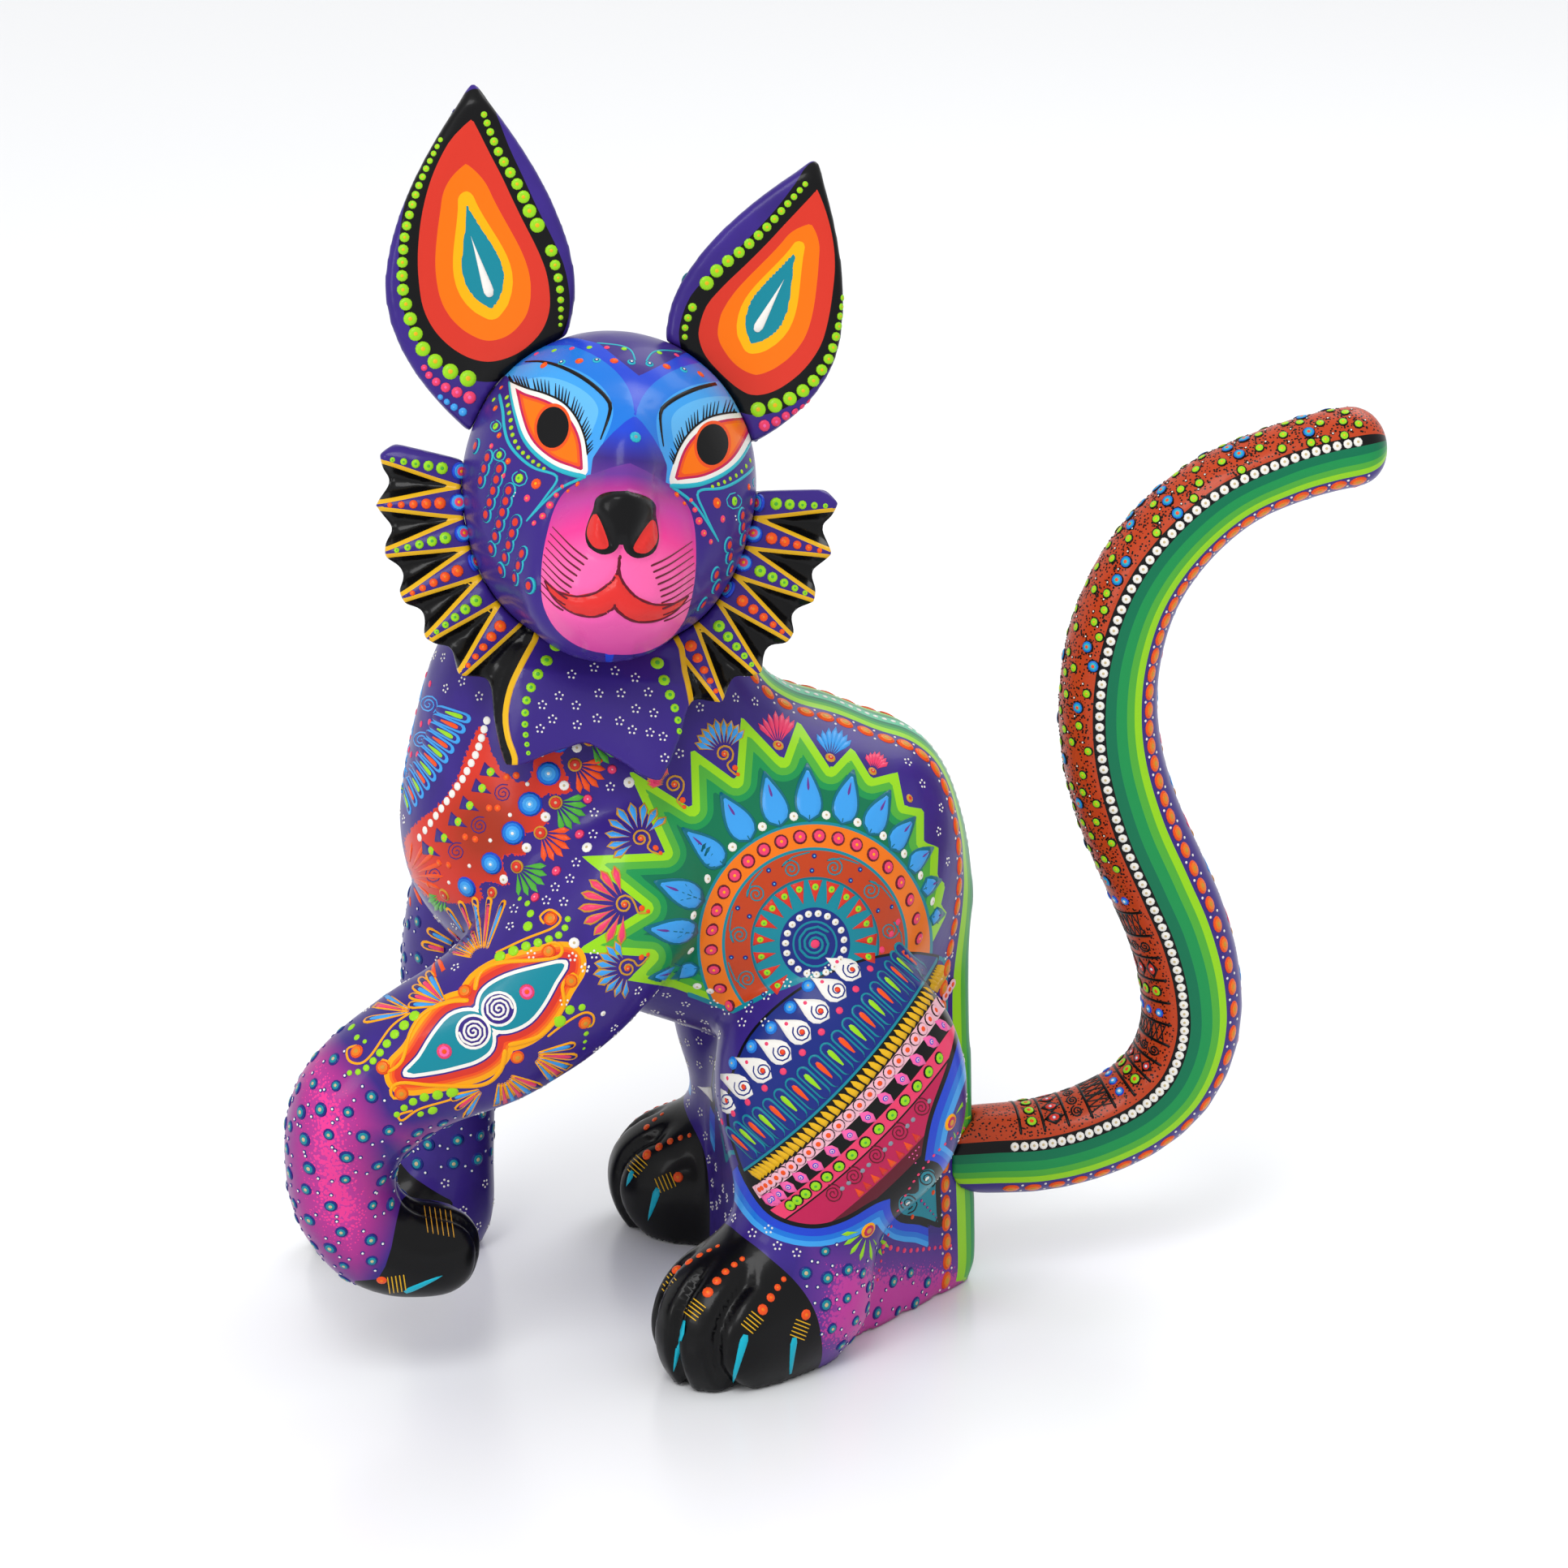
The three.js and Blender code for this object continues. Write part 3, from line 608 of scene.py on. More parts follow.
    def finish(self, name, body, slot):
        """Makes everything this brush laid into one piece."""
        points = np.concatenate(self.points) * MM
        mesh = bpy.data.meshes.new(name)
        mesh.from_pydata(points.tolist(), [], self.faces)
        for hue in self.names:
            mesh.materials.append(tint(hue))
        mesh.polygons.foreach_set("material_index", self.hues)
        mesh.polygons.foreach_set("use_smooth", np.ones(len(mesh.polygons), bool))
        mesh.update()
        bm = bmesh.new()
        bm.from_mesh(mesh)
        bmesh.ops.recalc_face_normals(bm, faces=bm.faces)
        bm.to_mesh(mesh)
        bm.free()
        piece = new_object(name, mesh)
        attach(piece, body)
        return piece


# ---- Skins --------------------------------------------------------------------------------------

def new_object(name, mesh):
    piece = bpy.data.objects.new(name, mesh)
    bpy.context.scene.collection.objects.link(piece)
    return piece


def coordinates(mesh):
    co = np.empty(len(mesh.vertices) * 3)
    mesh.vertices.foreach_get("co", co)
    return co.reshape(-1, 3)


def set_coordinates(mesh, co):
    mesh.vertices.foreach_set("co", co.ravel())
    mesh.update()


def normals(mesh):
    no = np.empty(len(mesh.vertices) * 3)
    mesh.vertices.foreach_get("normal", no)
    return no.reshape(-1, 3)


def smoothed(mesh, co, steps, pinned=None, strength=0.6):
    """The points after a number of rounds of each moving towards the middle of its neighbours."""
    edges = np.empty(len(mesh.edges) * 2, dtype=np.int64)
    mesh.edges.foreach_get("vertices", edges)
    a, b = edges.reshape(-1, 2).T
    count = np.bincount(np.concatenate((a, b)), minlength=len(co)).astype(float)[:, None]
    for _ in range(steps):
        total = np.empty_like(co)
        for axis in range(3):
            total[:, axis] = np.bincount(a, co[b, axis], len(co)) + np.bincount(b, co[a, axis], len(co))
        moved = co + strength * (total / count - co)
        if pinned is not None:
            moved[pinned, 2] = 0
        co = moved
    return co


def keep_biggest(mesh):
    """Drops every loose shell but the biggest one."""
    made = bmesh.new()
    made.from_mesh(mesh)
    made.verts.ensure_lookup_table()
    seen = np.zeros(len(made.verts), bool)
    best = []
    for start in made.verts:
        if seen[start.index]:
            continue
        seen[start.index] = True
        shell = [start]
        for vertex in shell:
            for edge in vertex.link_edges:
                other = edge.other_vert(vertex)
                if not seen[other.index]:
                    seen[other.index] = True
                    shell.append(other)
        if len(shell) > len(best):
            best = shell
    kept = set(best)
    bmesh.ops.delete(made, geom=[v for v in made.verts if v not in kept], context="VERTS")
    made.to_mesh(mesh)
    made.free()


def cad_skin(name, nodes, grow, voxel, steps):
    """One closed, smooth skin over some CAD nodes, with its soles left flat on the ground.

    The nodes swell by grow first, since the rounds of smoothing draw the skin in again.
    """
    made = bmesh.new()
    for node in nodes:
        made.from_mesh(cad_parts[node].data)
    bmesh.ops.remove_doubles(made, verts=made.verts, dist=1e-6)
    made.normal_update()
    for vertex in made.verts:
        vertex.co += vertex.normal * grow * MM
    mesh = bpy.data.meshes.new(name)
    made.to_mesh(mesh)
    made.free()
    piece = new_object(name, mesh)
    bpy.context.view_layer.objects.active = piece
    mesh.remesh_voxel_size = voxel * MM
    mesh.remesh_voxel_adaptivity = 0
    bpy.ops.object.select_all(action="DESELECT")
    piece.select_set(True)
    bpy.ops.object.voxel_remesh()
    mesh = piece.data
    keep_biggest(mesh)
    co = coordinates(mesh)
    on_ground = co[:, 2] < 0.6 * voxel * MM
    co = smoothed(mesh, co, steps, pinned=on_ground if on_ground.any() else None)
    co[:, 2] = np.maximum(co[:, 2], 0)
    set_coordinates(mesh, co)
    mesh.polygons.foreach_set("use_smooth", np.ones(len(mesh.polygons), bool))
    return piece


def dress(piece, body, nodes):
    """Puts a skin on a body, in place of the CAD nodes under it."""
    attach(piece, body)
    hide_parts(*nodes)


def laid_out(skin, sheet):
    """A skin's mesh, its points, and the two arrays of their places on a sheet."""
    co = coordinates(skin.data) / MM
    return skin.data, co, *sheet.places(co)


def ellipsoid_reach(co, centre, radii, turn_z):
    """How far out of a turned ellipsoid each point is: 1 on its surface."""
    away = co - np.array(centre)
    c, s = math.cos(math.radians(turn_z)), math.sin(math.radians(turn_z))
    forward = np.array((away[:, 0] * c + away[:, 1] * s, -away[:, 0] * s + away[:, 1] * c, away[:, 2]))
    return np.sqrt(sum((forward[k] / radii[k]) ** 2 for k in range(3))), forward


PAWS = {  # centre, radii and the turn of each paw that stands
    "left_hind": ((47, -35, 13), (20, 26, 21), 38),
    "right_hind": ((-46, -30, 13), (20, 26, 21), -24),
    "right_fore": ((-46, -113, 8), (16, 25, 16), 0),
}


GROOVE_HALF = 1.5


def cut_toes(skin):
    """Three grooves over the front of each paw."""
    mesh = skin.data
    co = coordinates(mesh) / MM
    no = normals(mesh)
    depth = np.zeros(len(co))
    for centre, radii, splay in PAWS.values():
        reach, (side, back, up) = ellipsoid_reach(co, centre, radii, splay)
        front = np.clip((3 - back) / 12, 0, 1) * np.clip((radii[2] * 0.95 - up) / 5, 0, 1)
        near = np.clip((1.3 - reach) / 0.12, 0, 1)
        for share in (-0.5, 0.02, 0.54):
            away = side - share * radii[0] * (0.8 + 0.25 * front)
            depth = np.maximum(depth, near * front * 2.7 * np.exp(-(away / GROOVE_HALF) ** 2))
    # The raised paw, curled under: grooves run along it.
    raised = (co[:, 0] > 20) & (co[:, 2] < 56) & (co[:, 1] < -96) & (co[:, 1] > -136)
    front = np.clip((co[:, 1] + 128) / 10, 0, 1)
    for across in (35.5, 43.5):
        groove = np.exp(-((co[:, 0] - across) / GROOVE_HALF) ** 2)
        depth = np.maximum(depth, raised * front * 1.3 * groove)
    co -= no * depth[:, None]
    co[:, 2] = np.maximum(co[:, 2], 0)
    set_coordinates(mesh, co * MM)


# ---- The carving's body -------------------------------------------------------------------------

MANDALA = np.array((8, -41.4))
MANDALA_STRETCH = (1, 1.04)  # it is a little taller than it is wide
LEAF_ANGLES = (12.5, 26, 38, 50.5, 63, 77, 92.6, 107, 123, 140, 159.5, 175, 191)
LEAF_TIPS = (34.5, 36.5, 39, 41, 43, 44.5, 45, 45, 45, 45, 44.5, 44.5, 44)
MANDALA_RINGS = (
    (0, "navy"), (5.3, "teal"), (5.8, "navy"), (9.0, "teal"), (16.1, "deep_teal"), (16.6, "rust"),
    (23.3, "teal"), (24.0, "orange"), (29.7, "teal"), (30.4, None),
)
ZIGZAG = np.array([
    (-54.5, -43.5), (-35.7, -32.1), (-52.5, -18.7), (-30.7, -17.8), (-40.5, 4), (-23.7, -6.5), (-24.2, 9.4),
    (-12.4, 0.8), (-11.1, 17.6), (-0.2, 6.1), (3.6, 16.7), (12.1, 3.8), (17.6, 9.7), (22.7, 1.4),
    (29.4, 3.1), (31.2, -5.7), (36.2, -6.5), (36.2, -15.1), (40, -16.3), (39.7, -23.9),
    (41.8, -26), (40.6, -31.3), (42.2, -33.4), (38.6, -40.7), (34.4, -46), (28.1, -47),
    (-13.9, -59.6), (-18.1, -56.7), (-28.6, -52.7), (-40.5, -50.8), (-34.4, -44.7),
])
BELLY = np.array([
    (-58, -62.2), (-40.3, -51.7), (-28.6, -52.9), (-18.1, -56.9), (-13.2, -58.8), (-3.4, -53.8),
    (7.1, -49.8),
    (17.6, -47), (28.1, -45.1), (36.5, -44.5), (41.8, -45.4), (41.8, -70.1), (7.1, -95.3), (-13.9, -95.3),
    (-24.4, -112.1), (-55.9, -91.1),
])
THIGH = outline([
    (40.7, -45.1), (42.8, -47.3), (44.2, -51.8), (44.5, -58.4), (44, -65.6), (41.9, -73.4), (39.5, -80),
    (37.4, -86), (36.1, -92), (35, -99.2), (33.8, -104.3), (28.7, -105.8), (23.3, -107.6), (16.1, -111.8),
    (8.9, -113.9), (1.7, -113), (-4.3, -109.7), (-9.4, -102.2), (-12.4, -94.4), (-14.2, -87.2),
    (-13.6, -77.6),
    (-10.3, -68), (-4.9, -60.8), (2.9, -54.2), (11.3, -49.4), (20.9, -45.8), (31.7, -44),
])
HEART = outline([
    (40.7, -114.7), (35.3, -113), (30.5, -112.4), (28.7, -110), (29, -106.7), (31.7, -104.9),
    (33.8, -104.9),
    (33.8, -101.6), (35.3, -99.2), (38.3, -98.6), (40.1, -100.4), (40.3, -105.2), (40.6, -111.2),
])
BAND_CENTRE = np.array((-104.3, 36.4))  # the thigh's bands are arcs about a place up and forward
BAND_RADIUS = 165.5
BAND_ANGLE = -42.7
BANDS = (
    (-28, "navy"), (-12.4, "navy"), (-0.4, "teal"), (0.2, "black"), (4.8, "pale_pink"),
    (8.3, "black"), (12.4, "rose"), (16.3, "black"), (16.7, "crimson"), (24, "maroon"), (27, "black"),
)
CHEST_RED = outline([
    (-78, 15.5), (-72.9, 3.8), (-66.2, 1.5), (-64, 12.7), (-54.5, 13.3), (-57.3, 7.1), (-54.5, -2.4),
    (-62.6, -3.5), (-60.6, -10.8), (-67.3, -13.6), (-66.2, -18.6), (-72.4, -19.2), (-70.7, -26.5),
    (-78, -25.9),
    (-78.5, -30.9), (-93.1, -29.3), (-98.7, -14.1), (-87.5, -2.9), (-80.8, 12.2),
])
DROPS = (
    outline([(-56.5, -46.2), (-64.1, -47.5), (-72.1, -49.8), (-77.5, -53.1), (-79.2, -57.1),
             (-78.2, -61), (-75, -63.7),
             (-70.6, -63.7), (-65.9, -61.4), (-62.3, -57.1), (-59.1, -51.3)]),
    outline([(-98.1, -75.1), (-94.5, -70.8), (-90.9, -65), (-86.6, -60), (-81.5, -58.5), (-77.2, -60),
             (-75.3, -64.3),
             (-75.7, -68.6), (-79.3, -71.5), (-84.4, -73.1), (-90.2, -74.4)]),
)
FOREARM = outline([
    (-109.7, -57.1), (-115.5, -62.9), (-111.9, -68.6), (-104.6, -78.8), (-101.7, -85.3), (-96, -87.1),
    (-82.9, -86),
    (-93.1, -100.5), (-103.2, -93.2), (-98.8, -107), (-101, -119.3), (-106.1, -127.9), (-111.9, -130.8),
    (-130.7, -114.9),
    (-132.1, -78.8), (-126.3, -64.3),
], steps=2)
RAISED_PAW = outline([
    (-105, -128.3), (-101.4, -120), (-98.8, -107.7), (-94.5, -107), (-82.9, -111.3), (-73.5, -120),
    (-73.5, -129.4),
    (-82.9, -136.6), (-93.1, -138.1), (-104.6, -135.2), (-111.1, -128.7),
], steps=2)
RAISED_COILS = ((-73.8, -58.2), (-80.4, -64.1))
CHEST_DEPTH = (-77.4, -11.9)
FOOT = np.array([(4, -116.3), (57.5, -116.3), (57.5, -154.1), (-1.3, -154.1)])

FAR = 50.0  # a distance that is outside every area
THIGH_HALF = 38  # the length of a band either way from its middle
THIGH_BACK = 18  # the thigh's art stays this far off the spine plane
ARM_BACK = -60  # the raised foreleg is all in front of this
SPINE_STRIPES = ((0, "mint"), (1.6, "mint"), (2.4, "pine"), (3.6, "green"), (5.2, "leaf_green"),
                 (6.8, "lime"), (9.4, None))
SPINE_CHAIN = 12.6  # how far out the chain of orange dots runs
DROP_RINGS = ((-50, "teal"), (-0.3, "white"), (0.6, "violet"), (1.1, "red"), (2.5, "tangerine"),
              (3.2, "orange"), (3.9, "amber"), (5.3, None))
PEARL = ("white", ("bone", 0.3))
COAL = ("tangerine", ("orange", 0.35))


def thigh_place(offset, along):
    """A place on the thigh: offset across its bands, and along them from their middle."""
    radius = BAND_RADIUS + offset
    return BAND_CENTRE + turn(BAND_ANGLE + math.degrees(along / radius), radius)


def is_inside(place, edge, margin=0.0):
    return outside(np.array([place[0]]), np.array([place[1]]), edge)[0] < -margin


def paint_body(skin):
    """The broad colours; gives back where the motifs that are only strewn about may go."""
    mesh = skin.data
    co = coordinates(mesh) / MM
    no = normals(mesh)
    on_left = co[:, 0] > 0
    beside = np.abs(co[:, 0])
    u, v = MAIN.places(np.column_stack((beside, co[:, 1], co[:, 2])))
    towards = np.array(TOWARDS_EYE) * np.where(on_left[:, None], 1, (-1, 1, 1))
    behind = (0.12 - (no * towards).sum(axis=1)) * 12  # over nought where the painter could not reach
    coat = Coat(mesh, "body_coat", "violet")
    foot = outside(u, v, FOOT)
    coat.wash(foot, foot, [(-18, "orchid"), (-9, "plum"), (0, "violet")])
    coat.fill(foot + 6, "orchid", stipple=3)
    chest = outside(u, v, CHEST_RED)
    coat.fill(chest, "red", stipple=0.4)
    coat.wash(chest + 1, np.hypot(u - CHEST_DEPTH[0], v - CHEST_DEPTH[1]), [(5, "ember"), (16, "red")])
    zigzag = outside(u, v, ZIGZAG)
    coat.lay(zigzag, [(-30, "pine"), (-5.6, "green"), (-3.9, "leaf_green"), (-2.1, "lime"), (0, None)])
    away = np.hypot(u - MANDALA[0], (v - MANDALA[1]) / MANDALA_STRETCH[1])
    coat.lay(away, MANDALA_RINGS)
    belly = outside(u, v, BELLY)
    coat.lay(belly, [(-60, "violet"), (0, None)])
    coat.fill(np.maximum.reduce([np.abs(belly) - 0.4, -46 - co[:, 1], behind]), "teal")
    ridge = beside + 60 * np.clip(0.12 - (no[:, 1] * 0.9 + no[:, 2] * 0.45), 0, 1)
    coat.lay(ridge, SPINE_STRIPES)
    leg = paint_thigh(coat, u, v, beside, behind)
    arm = on_left & (co[:, 1] < ARM_BACK)
    forearm, drops, raised_paw = paint_foreleg(coat, u, v, arm)
    paws = np.full(len(co), FAR)
    for centre, radii, splay in PAWS.values():
        reach, (_, back, _) = ellipsoid_reach(co, centre, radii, splay)
        paws = np.minimum(paws, np.maximum((reach - 1.13) * 20, back - 14))
    coat.fill(paws, "black")
    coat.finish()
    low_leg = (co[:, 0] < -28) & (co[:, 1] < -78) & (co[:, 2] > 26)
    clear = (paws > 1.5) & (raised_paw > 1.5) & (co[:, 2] > 1.5)
    ringed = clear & ((forearm < 1) | (foot < 0) & (leg > 7) | low_leg) & (ridge > 17)
    plain = clear & ~ringed & (zigzag > 2) & ((away > 33) | (zigzag < -50)) & (ridge > 18)
    plain &= (leg > 7) | (behind > 1.5)
    plain &= (drops > 9) & (chest > 2)
    return {"ringed": ringed, "plain": plain}


def paint_thigh(coat, u, v, beside, behind):
    """The banded thigh in its blue rim, with the heart behind it."""
    hidden = np.maximum(THIGH_BACK - beside, behind)
    thigh = outside(u, v, THIGH)
    heart = outside(u, v, HEART)
    both = np.minimum(thigh, heart)
    upper = (v + 99.5 - 1.05 * (u + 12.4)) * 0.7  # over nought above the rim's two ends
    rim = np.maximum.reduce([both - 5.6, upper, hidden])
    coat.wash(rim, both, [(-50, "black"), (1.1, "royal"), (2.9, "blue"), (4.3, "sky")], smooth=False)
    coat.lay(np.maximum(both, hidden), [(-50, "black"), (0.5, None)])
    coat.wash(np.maximum(heart, behind), heart, [(-50, "teal"), (-1.1, "black")], smooth=False)
    band = np.hypot(u - BAND_CENTRE[0], v - BAND_CENTRE[1]) - BAND_RADIUS
    coat.wash(np.maximum(thigh + 0.2, hidden), band, BANDS, smooth=False)
    return both


def paint_foreleg(coat, u, v, arm):
    """The raised foreleg's flaming drops and coils, its pink forearm and its black paw."""
    def on_arm(values):
        return np.where(arm, values, FAR)

    drops = on_arm(np.minimum(outside(u, v, DROPS[0]), outside(u, v, DROPS[1])))
    coat.lay(drops, DROP_RINGS)
    forearm = on_arm(outside(u, v, FOREARM))
    coat.wash(forearm, forearm, [(-16, "orchid"), (-8, "magenta"), (0, "violet")])
    coat.fill(forearm + 6, "hot_pink", stipple=4)
    for centre in RAISED_COILS:
        disc = on_arm(np.hypot(u - centre[0], v - centre[1]))
        coat.lay(disc, [(0, "violet"), (3.9, "white"), (4.6, None)])
    raised_paw = on_arm(outside(u, v, RAISED_PAW))
    coat.fill(raised_paw, "black")
    return forearm, drops, raised_paw


def around(angle, radius):
    """A place on the mandala."""
    return MANDALA + turn(angle, radius) * MANDALA_STRETCH


def draw_mandala(brush):
    """The rings from the middle outwards, less what the belly's edge cuts off."""
    brush.stroke(spiral(MANDALA, 4.7, 3, start=40), 0.8, "teal")
    brush.bead(MANDALA, 1.3, "rose")
    for i in range(19):
        brush.bead(around(i * 360 / 19 - 30, 7.6), 0.98, *PEARL)
    for i in range(21):
        angle = i * 360 / 21 + 4
        if -35 < angle - 270 < 70 or is_inside(around(angle, 14), BELLY):
            continue
        brush.stroke([around(angle, 15.9), around(angle, 10.4)], wedge(4.1), "red", pointed=True)
        brush.bead(around(angle, 14.2), 1.05, "lime", ("leaf_green", 0.3))
    for i in range(11):
        angle = i * 360 / 11 + 10
        if is_inside(around(angle, 20), BELLY, 1):
            continue
        coil = spiral(around(angle, 19.6), 2.6, 2.1, start=angle + 60, hand=-1)
        tail = [around(angle - 15, 22.9), around(angle - 9, 22.6), around(angle - 3, 22.4)]
        brush.stroke([*tail, *coil], 0.42, "teal")
        brush.bead(around(angle + 15, 21.9), 0.7, "navy", ("pale_sky", 0.4))
        brush.bead(around(angle + 17, 18.3), 0.7, "navy", ("pale_sky", 0.4))
    for i in range(34):
        place = around(i * 360 / 34 + 3, 26.9)
        if not is_inside(place, BELLY, -1):
            brush.bead(place, 1.95, "maroon", ("rose", 0.74), ("amber", 0.22))
    for angle, tip in zip(LEAF_ANGLES, LEAF_TIPS):
        draw_leaf(brush, angle, tip)
    for low, high in zip(LEAF_ANGLES, LEAF_ANGLES[1:]):
        brush.bead(around((low + high) / 2, 32.2), 1.25, *PEARL)
    brush.bead(around(199, 32.2), 1.25, *PEARL)


def draw_leaf(brush, angle, tip):
    """One blue leaf of the mandala's outer ring, with its outline, veins and heart."""
    broad = 7.4 * (tip / 45) ** 1.5
    root = 30.4
    reach = tip - root

    def swell(more):
        return lambda t: broad * math.sin(math.pi * min(t, 1) ** 0.62) ** 0.9 + more

    brush.stroke([around(angle, root), around(angle, tip)], swell(0.5), "deep_teal", pointed=True)
    brush.stroke([around(angle, root + 0.5), around(angle, tip - 1.2)], swell(-0.5), "sky",
                 lift=0.05, pointed=True)
    brush.stroke([around(angle, 31), around(angle, root + reach * 0.5)], 0.4, "deep_teal", lift=0.1)
    for hand in (-1, 1):
        vein = [around(angle, root + reach * 0.2), around(angle + hand * 3.4, root + reach * 0.46)]
        brush.stroke(vein, 0.3, "deep_teal", lift=0.1)
    brush.petal(around(angle, tip - reach * 0.16), around(angle, tip - reach * 0.48), 0.9, "plum",
                lift=0.12)


def draw_gold_fan(brush, root, aim, spread, count, reach, name, tail):
    """A fan of petals on a gold spiral, whose tail runs off the other way."""
    root = np.array(root)
    for i in range(count):
        way = turn(aim + spread * (i / (count - 1) - 0.5))
        reach_here = reach * (1 - 0.14 * abs(2 * i / (count - 1) - 1))
        brush.petal(root + way * 2.9, root + way * (reach_here + 0.5), 2.7, "gold")
    brush.fan(root, aim, spread, count, 3.2, reach, 2.05, (name,), lift=0.06)
    coil = spiral(root, 2.7, 1.8, start=aim + 180)
    brush.stroke([root + turn(tail, 6.4), root + turn(tail - 12, 4.2), *coil], 0.62, "gold")
    brush.bead(root, 0.85, "tangerine", ("bone", 0.3))
    brush.bead(root + turn(tail + 8, 4.6), 0.85, "tangerine")
    brush.bead(root + turn(tail + 4, 6.4), 0.6, "tangerine")


FLANK_SPRIGS = (
    (-40.7, 7.4), (-44.9, -0.7), (-49.1, -7.4), (-49.4, -13), (-53.8, -20.3), (-55.4, -24.5),
    (-59.2, -26.7), (-61.5, -30.1), (-57, -30.5), (-69.9, -32.3), (-65.4, -44.1), (-54.7, -44.7),
    (-49.1, -44.1), (-51.4, -47.5), (6.5, -49.1), (0.8, -51.5), (-4.6, -54.8), (-9.1, -58.1),
    (-18.1, -56.9), (-14.8, -58.7), (11.6, -47.8), (-4.9, -61.7), (42.7, -44), (-56.9, -56.3),
    (-54.7, -44.8), (-51.5, -47.7), (-8.2, -116.2), (-4, -115.2), (-1.7, -119.5), (3.3, -121.3),
    (45.5, -99.5), (-10.9, -61.7),
)


def draw_flank(brush):
    """Everything on one side of the body: what is seen on the main sheet, less the raised foreleg."""
    draw_mandala(brush)
    for root, aim, spread, reach, name, tail in (
        ((-37.1, -14.1), 128, 175, 9.6, "sky", -40),
        ((-41.3, -31.2), 185, 160, 11.6, "rose", -20),
        ((-40.5, -47.7), 190, 150, 8.6, "sky", 30),
        ((-28.4, -0.1), 150, 60, 7.6, "rose", -70),
        ((-15.5, 7.8), 105, 110, 9.0, "sky", -60),
    ):
        draw_gold_fan(brush, root, aim, spread, 9, reach, name, tail)
    for root, aim, spread, reach, name, size in (
        ((-1.5, 10), 95, 75, 9.0, "rose", 1.6), ((12, 6.8), 80, 80, 8.2, "sky", 1.5),
        ((22.9, 3.3), 70, 80, 5.4, "rose", 1.3),
    ):
        brush.fan(root, aim, spread, 7, 1.4, reach, 1.9, (name,))
        brush.bead(root, size, "gold", ("red", 0.55), ("bone", 0.2))
    brush.bead((32.5, -3.7), 1.2, "gold", ("red", 0.5))
    brush.sprigs(FLANK_SPRIGS)
    for place, r in (((-40.1, 0.4), 1.5), ((-51, -16.4), 1.45), ((-54.3, -41.1), 1.45),
                     ((-46.8, -59.4), 0.8),
                     ((-19.1, -53.6), 1.1)):
        brush.bead(place, r, *PEARL)
    for place, r in (((-44.5, 3.8), 1.3), ((-50.8, -3.9), 1.3), ((-52.9, -13), 1.4), ((-58.9, -22.5), 1.45),
                     ((-64.4, -29.3), 1.4), ((-40.7, 11.6), 1.4)):
        brush.bead(place, r, "crimson", ("rose", 0.86), ("pale_pink", 0.2))
    draw_chest(brush)
    draw_thigh(brush)
    for i in range(26):
        along = -34 + i * 2.1
        place = thigh_place(29.5 + 0.012 * along * along, along)
        brush.bead(place, 0.5, "rose")


